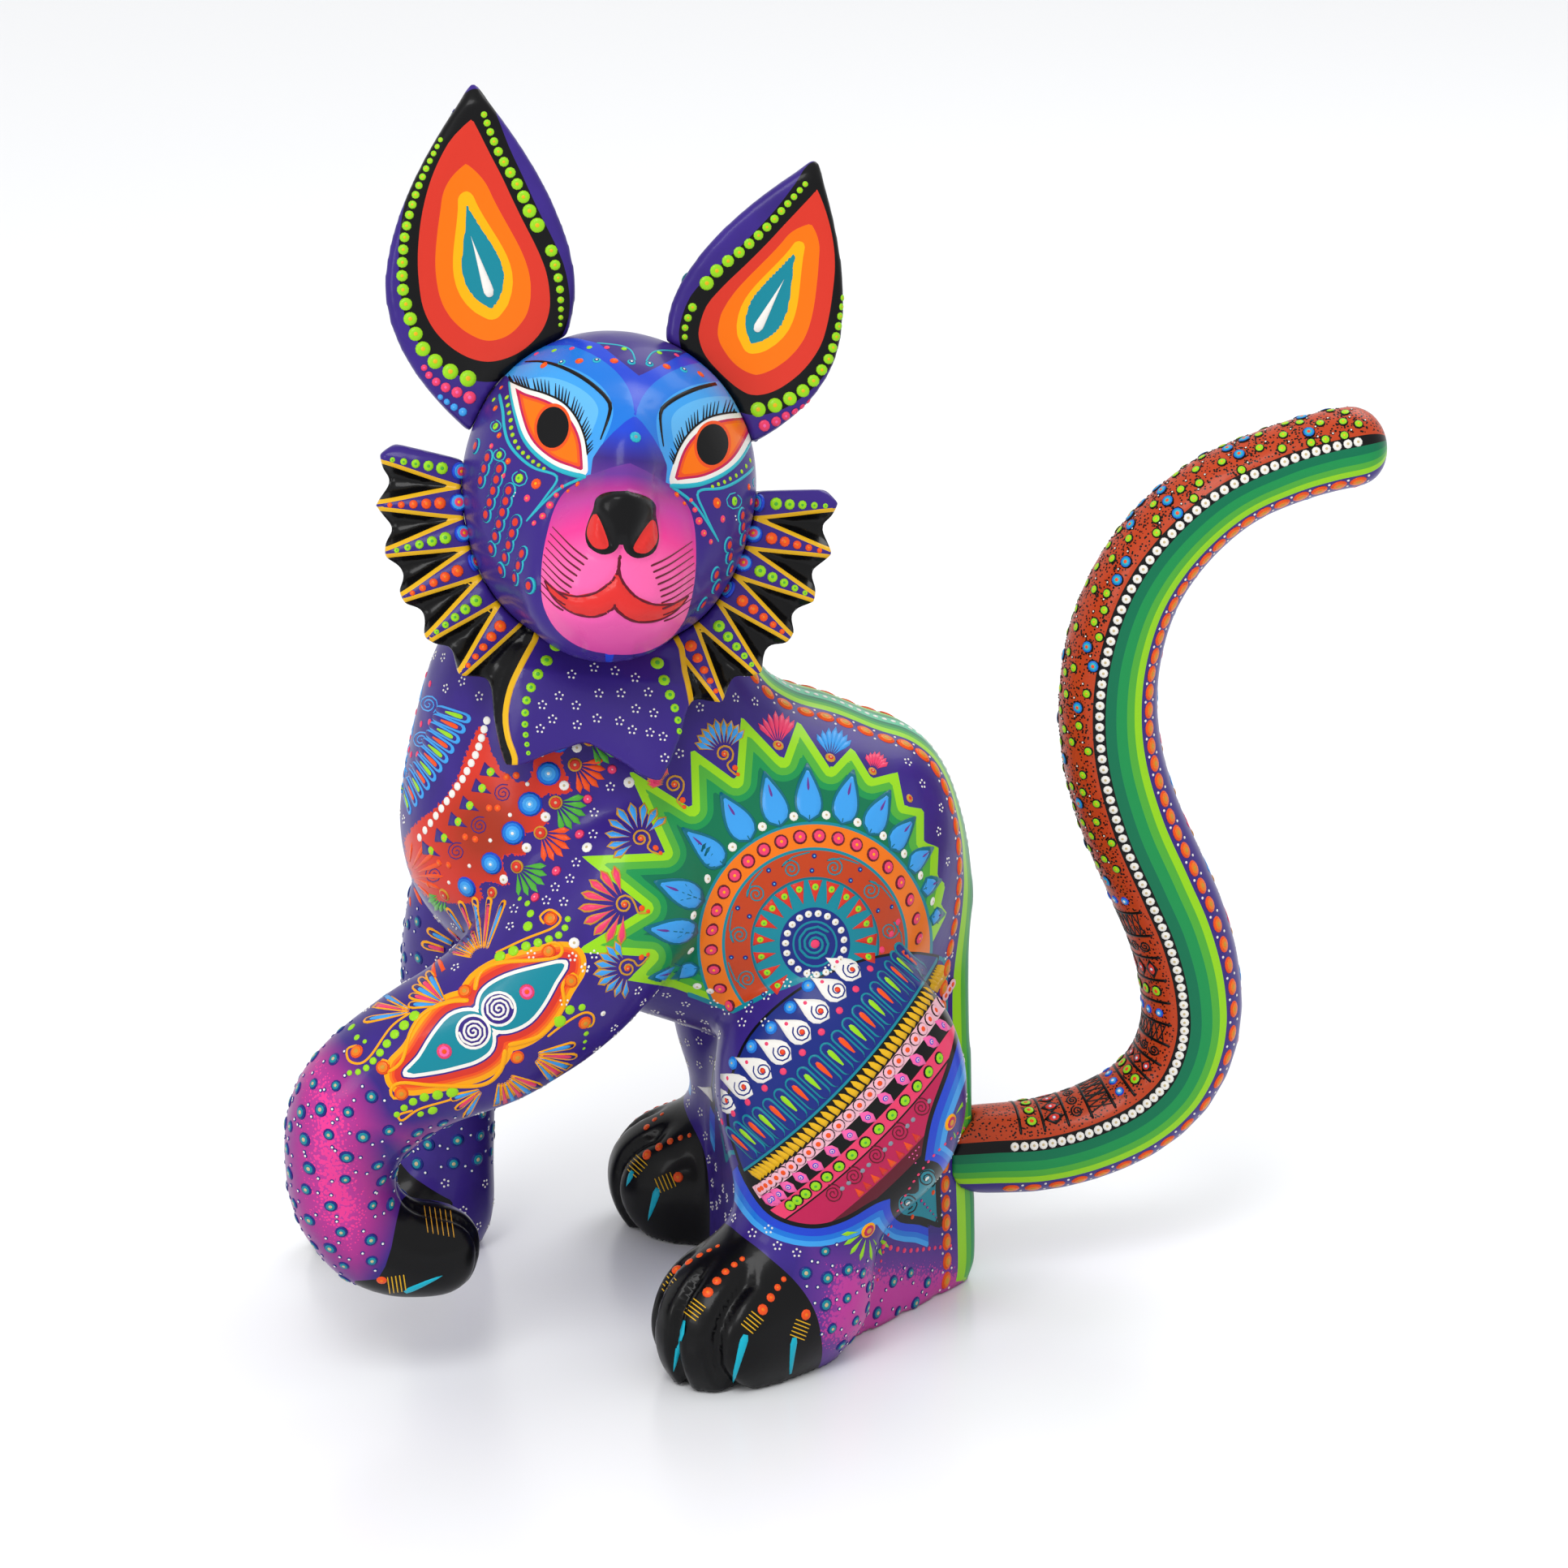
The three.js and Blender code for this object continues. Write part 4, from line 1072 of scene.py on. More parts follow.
def draw_chest(brush):
    """Rows of dots and flowers down the chest's red patch, and the art beyond it at the far left."""
    dots = ((-58.4, 10.8), (-60.9, 2.7), (-65.7, -5.2), (-70.1, -12.7), (-75.7, -20.6), (-82.1, -26.7))
    for place, r in zip(dots, (2.9, 3.3, 3.4, 3.3, 3.2, 3.1)):
        brush.bead(place, r, "royal", ("blue", 0.84), ("sky", 0.6), ("pale_sky", 0.32), ("white", 0.14))
    brush.beads(((-53.6, 9.4), (-56.9, -0.4), (-61.7, -8.5), (-66.6, -16.5), (-72.5, -24.7)), 1.35, *PEARL)
    brush.beads(((-62.6, 7.6), (-66.4, 0), (-70.9, -8), (-76, -14.6), (-81.4, -21.2),
                 (-86.7, -25.5)), 0.6, "white")
    flowers = ((-50.3, 11.6), (-54.1, 5), (-59.1, -4.8), (-63, -12.6), (-69.1, -21.4), (-87.9, -28.7))
    for i, (place, aim) in enumerate(zip(flowers, (-25, -35, -32, -38, -42, -130))):
        name = "leaf_green" if i % 2 == 0 or i == 5 else "tangerine"
        brush.fan(place, aim, 88, 6, 1.9, 8.8 if i < 5 else 5, 1.95, (name,))
        brush.bead(place, 1.9, "gold", ("red", 0.72), ("bone", 0.22))
    brush.bead((-75.5, -28.1), 1.8, "gold", ("red", 0.68), ("bone", 0.22))
    brush.row([(-76.9, 16.4), (-79.4, 8.3), (-83, 1.5), (-87.8, -5.2),
               (-94.5, -14.1)], 1.15, "white", gap=0.05)
    for place in ((-75.9, 3.1), (-78.1, -1.1), (-81.3, -5.6), (-84.3, -9.8), (-87.9, -14), (-91.3, -17.3)):
        place = np.array(place)
        brush.stroke([place + (-2.2, 0.9), place + (2.4, -1.4)], wedge(4.2), "violet", pointed=True)
        brush.bead(place, 1.25, "lime", ("yellow", 0.3))
    for place in ((-72.7, -2.4), (-78.8, -10.8), (-84.7, -17.5), (-90.6, -23.4)):
        brush.stroke(spiral(place, 2.5, 2.3, start=60), 0.35, "violet")
    brush.beads(((-71.8, 1.8), (-69.3, 2.2), (-76.3, -6.2), (-74.1, -6.2), (-82.5, -13.7),
                 (-79.9, -14.3), (-89.3, -20.4),
                  (-86.8, -21), (-92.1, -26)), 1.0, "tangerine", ("orange", 0.4))
    # A fan of outlined petals on the far left of the chest, and a spray of drops below it.
    for i in range(11):
        t = i / 10
        root = np.array((-90, 19.5)) * (1 - t) + np.array((-98.7, -0.7)) * t
        aim = -18 - 55 * t
        tip = root + turn(aim, 9.5 - 2.2 * t)
        brush.stroke([root, tip], 2.7, "sky")
        brush.stroke([root, root * 0.1 + tip * 0.9], 2.0, "violet", lift=0.05)
        brush.petal(root, root * 0.14 + tip * 0.86, 1.6, "tangerine" if i % 2 else "lime", lift=0.09)
    for place in ((-92, 20.6), (-93.9, 11.3), (-97.9, 3.2)):
        brush.stroke(spiral(place, 2.6, 2.4, start=-60), 0.45, "sky")
    brush.beads(((-91.6, 25.9), (-91.7, 16), (-93.9, 15.5), (-96.5, 7.6), (-94.9, 7.6)), 0.95, "rose")
    brush.beads(((-94.7, 23.9), (-94.8, 18.9), (-96, 13.6), (-97.5, 9.9)), 0.75, "lime")
    brush.fan((-97.3, -23.7), 20, 210, 11, 1.2, 9.5, 1.5, ("tangerine",))
    brush.bead((-97.3, -23.7), 1.2, "gold", ("red", 0.6))


def crowded(along):
    """Even steps along a band crowd towards its far ends, where the thigh curves away."""
    return THIGH_HALF * math.sin(along / THIGH_HALF)


def on_thigh(place, margin=0.6):
    return is_inside(place, THIGH, margin)


def draw_thigh(brush):
    draw_thigh_teeth(brush)
    draw_thigh_blossoms(brush)
    draw_thigh_coils(brush)
    draw_thigh_feathers(brush)
    draw_thigh_crest(brush)
    draw_thigh_flecks(brush)
    draw_heart(brush)
    for root, aim in (((21.8, -115.4), -105), ((43.1, -87.5), -8)):
        brush.fan(root, aim, 130, 7, 2.6, 8.2, 1.7, ("lime",))
        brush.bead(root, 2.5, "amber", ("crimson", 0.66), ("gold", 0.36))
    brush.row([(25.7, -119.6), (31.7, -120.8), (37.7, -120.2),
               (43.1, -119.5)], 0.8, "rose", ends=(1.1, 0.7))


def draw_thigh_teeth(brush):
    """Yellow teeth, then a row of pale rings."""
    for i in range(-24, 25):
        along = crowded(i * 2.25)
        low, high = thigh_place(4.3, along), thigh_place(0.7, along - 0.9)
        if on_thigh(low, 0.3) and on_thigh(high, 0.3):
            brush.stroke([low, high], lambda t: 1.9 * min(1, (1 - t) * 2.4 + 0.05), "yellow", pointed=True)
    for i in range(-14, 15):
        place = thigh_place(6.5, crowded(i * 3.85))
        if on_thigh(place):
            brush.bead(place, 1.8, "black", ("pale_pink", 0.86), ("tangerine", 0.42))


def draw_thigh_blossoms(brush):
    """Pink diamonds with an eye each, and a row of lime dots."""
    for i in range(-9, 9):
        along = crowded(i * 6.7 + 2)
        if on_thigh(thigh_place(10.4, along), 1.2):
            brush.stroke([thigh_place(8.0, along - 0.8), thigh_place(12.6, along + 0.8)],
                         diamond(4.4), "pink", pointed=True)
            brush.bead(thigh_place(10.3, along), 0.95, "royal", ("pale_pink", 0.6), ("royal", 0.3))
    for i in range(-9, 9):
        place = thigh_place(14.4, crowded(i * 5.0))
        if on_thigh(place, 1.2):
            brush.bead(place, 1.75, "black", ("lime", 0.76), ("leaf_green", 0.24))


def draw_thigh_coils(brush):
    """Coils and grey dots, a comb of small teeth, and pink dust beyond it."""
    for i in range(-3, 4):
        along = crowded(i * 8.6 - 2)
        if on_thigh(thigh_place(19, along), 2):
            brush.stroke(spiral(thigh_place(18.8, along), 2.6, 2.4, start=120, hand=-1), 0.38, "maroon")
        for ahead in (2.6, 4.8):
            place = thigh_place(19.3, along + ahead)
            if on_thigh(place, 1):
                brush.bead(place, 0.72, "grey")
    for i in range(-7, 8):
        along = crowded(i * 3.1)
        if on_thigh(thigh_place(23.2, along), 1):
            brush.stroke([thigh_place(21.4, along), thigh_place(23.8, along)],
                         taper(0, 2.4), "tangerine" if i % 2 else "red", pointed=True)
    for row in range(4):
        for i in range(-5, 6):
            place = thigh_place(25.2 + 1.1 * row, i * 1.2 + 0.5 * (row % 2) + 1)
            if on_thigh(place, 0.5):
                brush.bead(place, 0.26, "pink")


def draw_thigh_feathers(brush):
    """The row of long feathers across the thigh, above the yellow teeth."""
    for i in range(-9, 10):
        along = crowded(i * 4.35 + 1)
        foot, head = thigh_place(-0.6, along), thigh_place(-11.4, along)
        if not on_thigh(thigh_place(-7, along), 0.2):
            continue
        brush.stroke([foot, head], 3.7, "teal")
        brush.stroke([foot, thigh_place(-10.9, along)], 2.75, "navy", lift=0.05)
        brush.petal(thigh_place(-1.6, along), thigh_place(-9.9, along), 1.9,
                    "tangerine" if i % 2 else "lime", lift=0.1, heavy=0.72)


def draw_thigh_crest(brush):
    """White drops with a coil in each, along the thigh's upper edge."""
    for i in range(-6, 7):
        along = crowded(i * 7.3)
        middle = thigh_place(-17.2, along)
        if on_thigh(middle, -1.5):
            tip = thigh_place(-24.6, along - 2.4)
            brush.stroke([tip, thigh_place(-14.2, along + 0.2)],
                         lambda t: 6.6 * math.sin(math.pi * t ** 1.75) ** 0.7, "white", pointed=True)
            brush.stroke(spiral(middle, 2.6, 1.9, start=150, hand=1), 0.55, "navy", lift=0.06)
            brush.bead(middle, 0.95, "red", ("tangerine", 0.5))
            brush.bead(thigh_place(-21.6, along - 1.2), 0.7, "rose")
        brush.bead(thigh_place(-13.5, along + 3.4), 1.0, "rose")
        place = thigh_place(-23.8, along + 2.6)
        if on_thigh(place, -2):
            brush.bead(place, 1.8, "blue", ("sky", 0.66), ("bone", 0.2))


def draw_thigh_flecks(brush):
    """Short flecks strewn over the top band."""
    rng = random.Random(4)
    for _ in range(110):
        along = rng.uniform(-36, 38)
        place = thigh_place(-28.5 + rng.uniform(-2.6, 1.2) + 0.004 * along * along, along)
        if on_thigh(place, 0.8):
            brush.stroke([place, place + turn(rng.uniform(20, 70), rng.uniform(0.8, 1.8))], 0.5,
                         "tangerine")


def draw_heart(brush):
    """Two black coils and a line of dots in the teal heart."""
    for place in ((37, -102.1), (32, -108.5)):
        brush.stroke(spiral(place, 2.7, 2.3, start=-90), 0.5, "black")
        brush.bead(place, 0.8, "white", ("aqua", 0.3))
    top, low = np.array((35.5, -107.8)), np.array((40.1, -113))
    for k in range(6):
        brush.bead(top * (1 - k / 6) + low * k / 6, 0.55 - 0.06 * k, "plum", ("rose", 0.6))
    brush.beads(((38.6, -105.7), (33.2, -112)), 0.75, "tangerine")


def spine_line(brush, x, step):
    """Places at equal steps over the back and down the rump, a distance x beside the spine plane."""
    rays = []  # fanned out over the back first, then level ones down the rump
    for i in range(240):
        angle = math.radians(130 - 130 * i / 239)
        way = Vector((0, math.cos(angle), math.sin(angle)))
        rays.append((Vector((x, -20, 100)) + way * 200, -way))
    for i in range(200):
        rays.append((Vector((x, 200, 100 - 99 * i / 199)), Vector((0, -1, 0))))
    places = []
    gone = step
    last = None
    for origin, way in rays:
        point, normal, _, _ = brush.tree.ray_cast(origin, way)
        if point is None:
            continue
        if last is not None:
            gone += (point - last).length
        if gone >= step:
            forward = (point - last).normalized() if last is not None else Vector((0, 1, 0))
            forward = (forward - normal * forward.dot(normal)).normalized()
            places.append((point, normal, forward))
            gone = 0.0
        last = point
    return places


def draw_spine(brush):
    """White dots along the ridge, and a chain of orange ones beside the stripes."""
    for side in (-1, 1):
        for point, normal, along in spine_line(brush, side * SPINE_CHAIN, 5.3):
            chain = [("tangerine", 1), ("orange", 0.68), ("gold", 0.4)]
            brush.bead_at(point, normal, 2.0, chain, (along, 1.3))
            for hand in (-1, 1):
                spot = point + along * 2.6 + normal.cross(along) * hand * 1.9
                near = brush.tree.find_nearest(spot)
                brush.bead_at(near[0], near[1], 0.4, [("white", 1)])
    for point, normal, _ in spine_line(brush, 0.0, 1.9):
        brush.bead_at(point, normal, 0.8, [("white", 1)])


def flower_at(brush):
    """Draws a small white flower where scatter asks for one."""
    def draw(point, normal, rng):
        start = rng.uniform(0, 72)
        for k in range(5):
            brush.on_skin(point, normal, turn(start + 72 * k, 0.95), 0.34, [("white", 1)])
    return draw


def ringed_at(brush, rings):
    """Draws a ringed dot with two small ones beside it."""
    def draw(point, normal, rng):
        radius = rng.uniform(1.5, 2.1)
        brush.bead_at(point, normal, radius, rings)
        angle = rng.uniform(0, 360)
        for k in range(2):
            brush.on_skin(point, normal, turn(angle + 150 * k, 3.4), 0.62, [("navy", 1), ("white", 0.6)])
    return draw


def draw_foreleg(brush):
    """The coils, scrolls and outlined fans about the raised foreleg's drops."""
    for centre, bead, start in zip(RAISED_COILS, ((-66.5, -53.8), (-87.9, -69.2)), (0, 180)):
        brush.stroke(spiral(centre, 3.7, 3, start=start, inner=0.05), 0.72, "white")
        brush.bead(bead, 2.0, "rose", ("pink", 0.7), ("tangerine", 0.35))
    for line in (
        ((-80, -53.4), (-78.6, -48.7), (-73.5, -46.2), (-62.7, -45.5), (-58, -44.4), (-57.6, -41.9),
         (-60.2, -41),
          (-62.3, -42.6), (-61.2, -44.4)),
        ((-71.4, -67.6), (-64.1, -65.7), (-59.8, -62.1), (-56.9, -57.1), (-57.3, -52), (-54.7, -49.1),
         (-53.3, -50.6),
          (-55.1, -52.4)),
        ((-81.5, -56), (-86.6, -56.3), (-93.1, -59.2), (-96.7, -64.3), (-98.8, -71.5), (-102.5, -74.4),
         (-104.6, -73),
          (-103.5, -71.2), (-102.1, -72.6)),
        ((-72.1, -68.6), (-73.5, -74.4), (-78.6, -78), (-90.2, -78), (-98.8, -77.3), (-101.7, -78.8),
         (-101, -81.3),
          (-98.1, -80.6), (-98.8, -79.1)),
    ):
        brush.stroke(rounded(line), taper(1.5, 0.8), "amber", lift=0.05)
    brush.beads(((-60.9, -43.3), (-55.1, -50.9), (-103.8, -73.3), (-99, -80.1), (-110.6, -69.2),
                 (-60.4, -34.8), (-51.5, -61.8),
                  (-69, -70.7), (-82.6, -53.6)), 1.9, "tangerine", ("orange", 0.75), ("gold", 0.35))
    fans = (
        ((-77.9, -45.5), 118, 95, 8, 3, 16.5), ((-87.3, -57.1), 150, 60, 5, 1, 10),
        ((-96, -58.9), 170, 40, 3, 1, 13),
        ((-65.6, -70.1), -18, 62, 5, 2, 12), ((-73.5, -74.4), -58, 74, 6, 3, 11.5),
        ((-77.9, -78.8), -142, 40, 3, 1, 9),
    )
    for root, aim, spread, count, inner, reach in fans:
        for i in range(count):
            angle = aim + spread * (i / (count - 1) - 0.5)
            a = np.array(root) + turn(angle, inner)
            b = np.array(root) + turn(angle, reach)
            brush.stroke([a, b], taper(0.9, 3.4), "amber")
            brush.stroke([a, a * 0.05 + b * 0.95], taper(0.3, 2.3), "deep_violet", lift=0.05)
            brush.petal(a, a * 0.09 + b * 0.91, 1.6, "rose" if i % 2 else "sky", lift=0.1)
    for line in (
        ((-74.6, -43.7), (-67, -40.1), (-59.8, -37.2), (-57.8, -34.6), (-60.5, -32.5), (-63.1, -34.3),
         (-62, -36.2)),
        ((-96.7, -59.2), (-101.7, -62.9), (-106.8, -70.1), (-109.7, -72.3), (-112.6, -71.5),
         (-113, -68.6), (-110.4, -67.6)),
        ((-61.2, -65.4), (-56.9, -62.1), (-51.8, -59.2), (-49.3, -60), (-49.7, -62.5), (-52.2, -62.9)),
        ((-78.6, -79.5), (-87.3, -82), (-94.5, -84.2), (-98.8, -87.1), (-99.6, -85.6), (-96, -84.5)),
    ):
        brush.stroke(rounded(line), 0.75, "amber")
    for line, r in (
        (((-73.5, -44.6), (-68.1, -42.4), (-64.1, -41.2), (-57.6, -38.6), (-55.5, -33.2)), 1.3),
        (((-66.3, -36.8), (-65.6, -33.6), (-66.3, -31), (-68.5, -29.6)), 1.15),
        (((-95.6, -60), (-101, -65), (-105, -70.1), (-109, -74.1), (-113.7, -74.8)), 1.25),
        (((-111.9, -62.9), (-110.4, -65.7), (-107.9, -66.8)), 1.0),
        (((-85.8, -79.8), (-90.2, -80.6), (-93.8, -81.3), (-97.4, -83.1), (-101.4, -86.7)), 1.35),
        (((-58, -61.4), (-55.5, -58.5), (-50.4, -57.6)), 1.4), (((-50.8, -62.1), (-51.8, -68.6)), 0.8),
        (((-90.9, -84.5), (-96, -86)), 1.1),
    ):
        brush.row(rounded(line), r, "lime", ends=(1.25, 0.6), gap=0.5)


def draw_paws(brush):
    """Claws, hatching and orange dots along each toe of the near paws."""
    toes = (
        # claw's broad end and tip, hatching's middle, then the row of dots from big to small
        ((-25.8, -138.8), (-28.6, -152.1), (-23.1, -136), ((-19.7, -131.5), (-15.4, -126.4),
                                                           (-9.2, -121.7))),
        ((-9.9, -142.5), (-13.6, -156.1), (-8.2, -139.3), ((-5.5, -136), (-1.2, -129.6), (1, -126.9))),
        ((2.7, -143.2), (1.5, -154.1), (4.2, -141.2), ((5.7, -137.3), (7.6, -134.5))),
        ((-33.7, -131.1), (-36, -142.2), (-30.8, -128.3), ((-27.8, -125.6), (-21.8, -121.9),
                                                           (-16.5, -119.2))),
        ((-32.6, -104.6), (-35.2, -113), (-30.7, -103.1), ((-27.4, -101.7), (-25.1, -100.6))),
        ((-39.2, -100.1), (-40.8, -104.1), (-38.2, -98.9), ((-35.5, -95.9), (-30.2, -92.7),
                                                            (-23.8, -90.7))),
    )
    for wide, tip, hatch, line in toes:
        draw_claw(brush, wide, tip)
        draw_hatch(brush, hatch, np.array(line[0]) - np.array(hatch), 3.4)
        brush.row(rounded(line), 1.45, *COAL, gap=0.7, ends=(1.05, 0.45))
    draw_claw(brush, (-98, -131.5), (-88.4, -127.2))
    draw_hatch(brush, (-100.2, -129.4), np.array((1.0, 0.15)), 3.6)
    brush.bead((-104.1, -128.4), 1.45, *COAL)
    for k in range(6):
        a = np.array((-93.1, -109.1)) + np.array((1.35, -0.25)) * k
        brush.stroke([a, a + (1.0, -7.0)], 0.28, "gold")


def draw_claw(brush, wide, tip):
    brush.stroke([wide, tip], lambda t: 2.7 * (1 - t) ** 0.6 * min(1, 0.55 + 4 * t), "claw", pointed=True)


def draw_hatch(brush, middle, along, size):
    along = np.array(along) / math.hypot(*along)
    side = np.array((-along[1], along[0]))
    for k in range(5):
        at = np.array(middle) + along * 1.05 * (k - 2)
        brush.stroke([at - side * size * 0.6, at + side * size * 0.6], 0.36, "yellow")


# ---- Head ---------------------------------------------------------------------------------------

EYE_RIM = outline([
    (30.8, 25.8), (26.8, 24.4), (22, 23.4), (17.6, 21.6), (14, 18.2), (11.7, 14.2), (10.6, 9.6),
    (10.4, 5.4),
    (14.3, 5.9), (18.7, 7.1), (23.2, 9.8), (26.2, 13.2), (28.3, 17.7), (29.7, 21.8),
])
PUPIL, PUPIL_SIZE = np.array((19.5, 15.9)), (3.7, 4.8)
BRIGHT_BROW = outline([
    (33.8, 25.5), (28.8, 28.1), (23.7, 29.6), (18.4, 29.4), (12.9, 27.6), (8.9, 24.8), (7.1, 21.6),
    (7.4, 17.9),
    (8.8, 13.5), (10.1, 9.1), (10.5, 5.4), (16.3, 9.5), (25, 16.5),
])
CHEEK = np.array([
    (30.5, 25.1), (32, 26.8), (38.1, 26.2), (66, 30.5), (57.4, -53.1), (-0.3, -47.1), (8.1, 1.9),
    (10.3, 4.9),
    (13.7, 5.5), (18.7, 7.1), (23.2, 9.8), (26.2, 13.2), (28.3, 17.7),
])
BRIDGE = np.array([
    (-3.6, 22.2), (-0.9, 21.3), (1.9, 19.2), (4.8, 16), (7.3, 12.6), (8.9, 9.5), (9, 5), (8.1, -1.3),
    (-5.9, 0.2),
])
MUZZLE = outline([
    (-5.3, 6.5), (8.4, 5.6), (11.2, 3.7), (14.8, 0.7), (16.9, -3.8), (18, -9.7), (18.5, -16.1),
    (18.1, -22.5),
    (16.9, -27.6), (13.4, -32.6), (7.8, -36), (0.7, -37.1), (-9.8, -36.3),
])
NOSE = outline([
    (-5.7, 2.6), (0.9, 2.2), (4.8, 1.5), (7.1, -0.1), (7.5, -2.8), (8.3, -5.5), (8.8, -8.8), (7.7, -11.8),
    (4.3, -13.3), (1.5, -12.2), (0.2, -9.7), (-1.1, -9.3), (-6.9, -9.2),
])
NOSTRIL = outline([
    (7.2, -3.9), (5.8, -5.5), (4.3, -8.3), (3.2, -11.1), (4.5, -12), (6.6, -11.6), (8.3, -9.2), (8.3, -6.6),
])
CROWN = np.array([
    (-60, 60), (-60, 24), (0.5, 29.1), (5.5, 32.3), (11.1, 35.9), (16, 36.5), (40, 33), (60, 60),
])
MOUTH = np.array([
    (-7.2, -12.1), (-0.9, -13.1), (-0.2, -16.3), (1.4, -19.6), (4.9, -22.8), (9.5, -24.2), (14.1, -23.5),
    (17.5, -21.2), (15, -25.1), (10.5, -28), (5.6, -28.7), (2.3, -27.7), (0.1, -26), (-2.2, -25),
    (-8.6, -24.7),
])
SCALES = ((37.4, 9.4), (29.5, 3.3), (30, -18.9), (21.1, -22.8))  # the corners of the scaly cheek
LASHES = 30


def inward(points, side):
    """Points given outwards from the face's middle, on one side of it."""
    return [(side * max(p[0], 0), p[1]) for p in points]


def head_depth(co):
    return (co - np.array(HEAD_CENTRE)) @ np.array(HEAD_TURN @ Vector((0, 1, 0)))


def carve_face(skin):
    """Raises the nose and sinks the eyes, the muzzle's edge, the nostrils and the mouth."""
    mesh, co, u, v = laid_out(skin, FACE)
    u = np.abs(u)
    front = np.clip((4 - head_depth(co)) / 12, 0, 1)
    nose = np.clip(0.5 - outside(u, v, NOSE) / 2.4, 0, 1)
    nose = nose * nose * (3 - 2 * nose)
    eye = outside(u, v, EYE_RIM)
    muzzle = outside(u, v, MUZZLE)
    bridge = outside(u, v, BRIDGE)
    rise = 2.6 * nose
    rise += 1.5 * np.clip(0.5 - bridge / 5, 0, 1) * np.clip((v + 4) / 8, 0, 1)
    rise -= 1.7 * np.exp(-np.maximum(eye, 0) ** 2 / 22)
    rise -= 1.3 * np.exp(-(muzzle / 2.0) ** 2) * np.clip(1.4 - v / 8, 0, 1) * (u > 6)
    rise += 1.6 * np.clip(-muzzle / 9, 0, 1)
    rise -= 1.4 * np.exp(-(outside(u, v, NOSTRIL) / 1.4) ** 2)
    rise -= 0.8 * np.exp(-(outside(u, v, MOUTH) / 0.9) ** 2)
    rise += 1.2 * np.exp(-((np.hypot(u - 13, v - 27) / 9) ** 2))
    forward = np.array(HEAD_TURN @ Vector((0, -1, 0)))
    co += forward * (rise * front)[:, None]
    set_coordinates(mesh, co * MM)


def paint_head(skin):
    """Brow, bridge, cheeks, muzzle, mouth, nose and eyes, each over the one before."""
    mesh, co, u, v = laid_out(skin, FACE)
    u = np.abs(u)
    behind = head_depth(co)
    coat = Coat(mesh, "face_coat", "deep_violet")
    brow = outside(u, v, BRIGHT_BROW)
    coat.lay(brow, [(-30, "pale_sky"), (-1.9, "sky"), (1.4, "blue"), (6.5, "royal"), (60, "royal")])
    coat.lay(outside(u, v, CROWN), [(-50, "violet"), (-1.5, "royal"), (0, None)])
    coat.wash(outside(u, v, BRIDGE), v, [(-3, "magenta"), (4, "plum"), (10, "violet"), (17, "royal")])
    coat.lay(outside(u, v, CHEEK), [(-90, "violet"), (0, None)])
    muzzle = outside(u, v, MUZZLE)
    tone = v + 0.5 * np.clip(muzzle + 5, -4, 9)
    coat.wash(muzzle, tone, [
        (-40, "orchid"), (-24, "pink"), (-17, "pink"), (-9, "hot_pink"), (-1, "orchid"), (3, "magenta"),
        (8, "plum"),
    ])
    coat.fill(outside(u, v, MOUTH), "lip_red")
    coat.fill(outside(u, v, NOSE), "black")
    coat.fill(outside(u, v, NOSTRIL), "lip_red")
    eye = outside(u, v, EYE_RIM)
    coat.lay(eye, [(-50, "flame_2"), (-2.3, "tangerine"), (-1.8, "crimson"), (-1.15, "white"), (0, None)])
    gaze = (np.hypot((u - PUPIL[0]) / PUPIL_SIZE[0], (v - PUPIL[1]) / PUPIL_SIZE[1]) - 1) * PUPIL_SIZE[0]
    coat.lay(gaze, [(-50, "black"), (0, "tangerine"), (0.6, None)])
    coat.lay(-behind, [(-90, "violet"), (-6, None)])
    coat.finish(0.28)


def draw_face(brush):
    for side in (-1, 1):
        draw_half_face(brush, side)
    brush.bead((0.7, 15.7), 1.5, "aqua", ("grey", 0.35))
    for side in (-1, 1):
        draw_half_crown(brush, side)


def draw_lashes(brush, lid, side):
    for i in range(LASHES):
        t = (i + 0.5) / LASHES
        root = lid[int(t * (len(lid) - 1))]
        way = turn(128 - 78 * t, 2.0 + 1.6 * math.sin(math.pi * t))
        tip = root + (-side * way[0], way[1])
        brush.stroke([root, tip], lambda s: 0.6 * (1 - s) ** 0.7 + 0.1, "black", pointed=True)


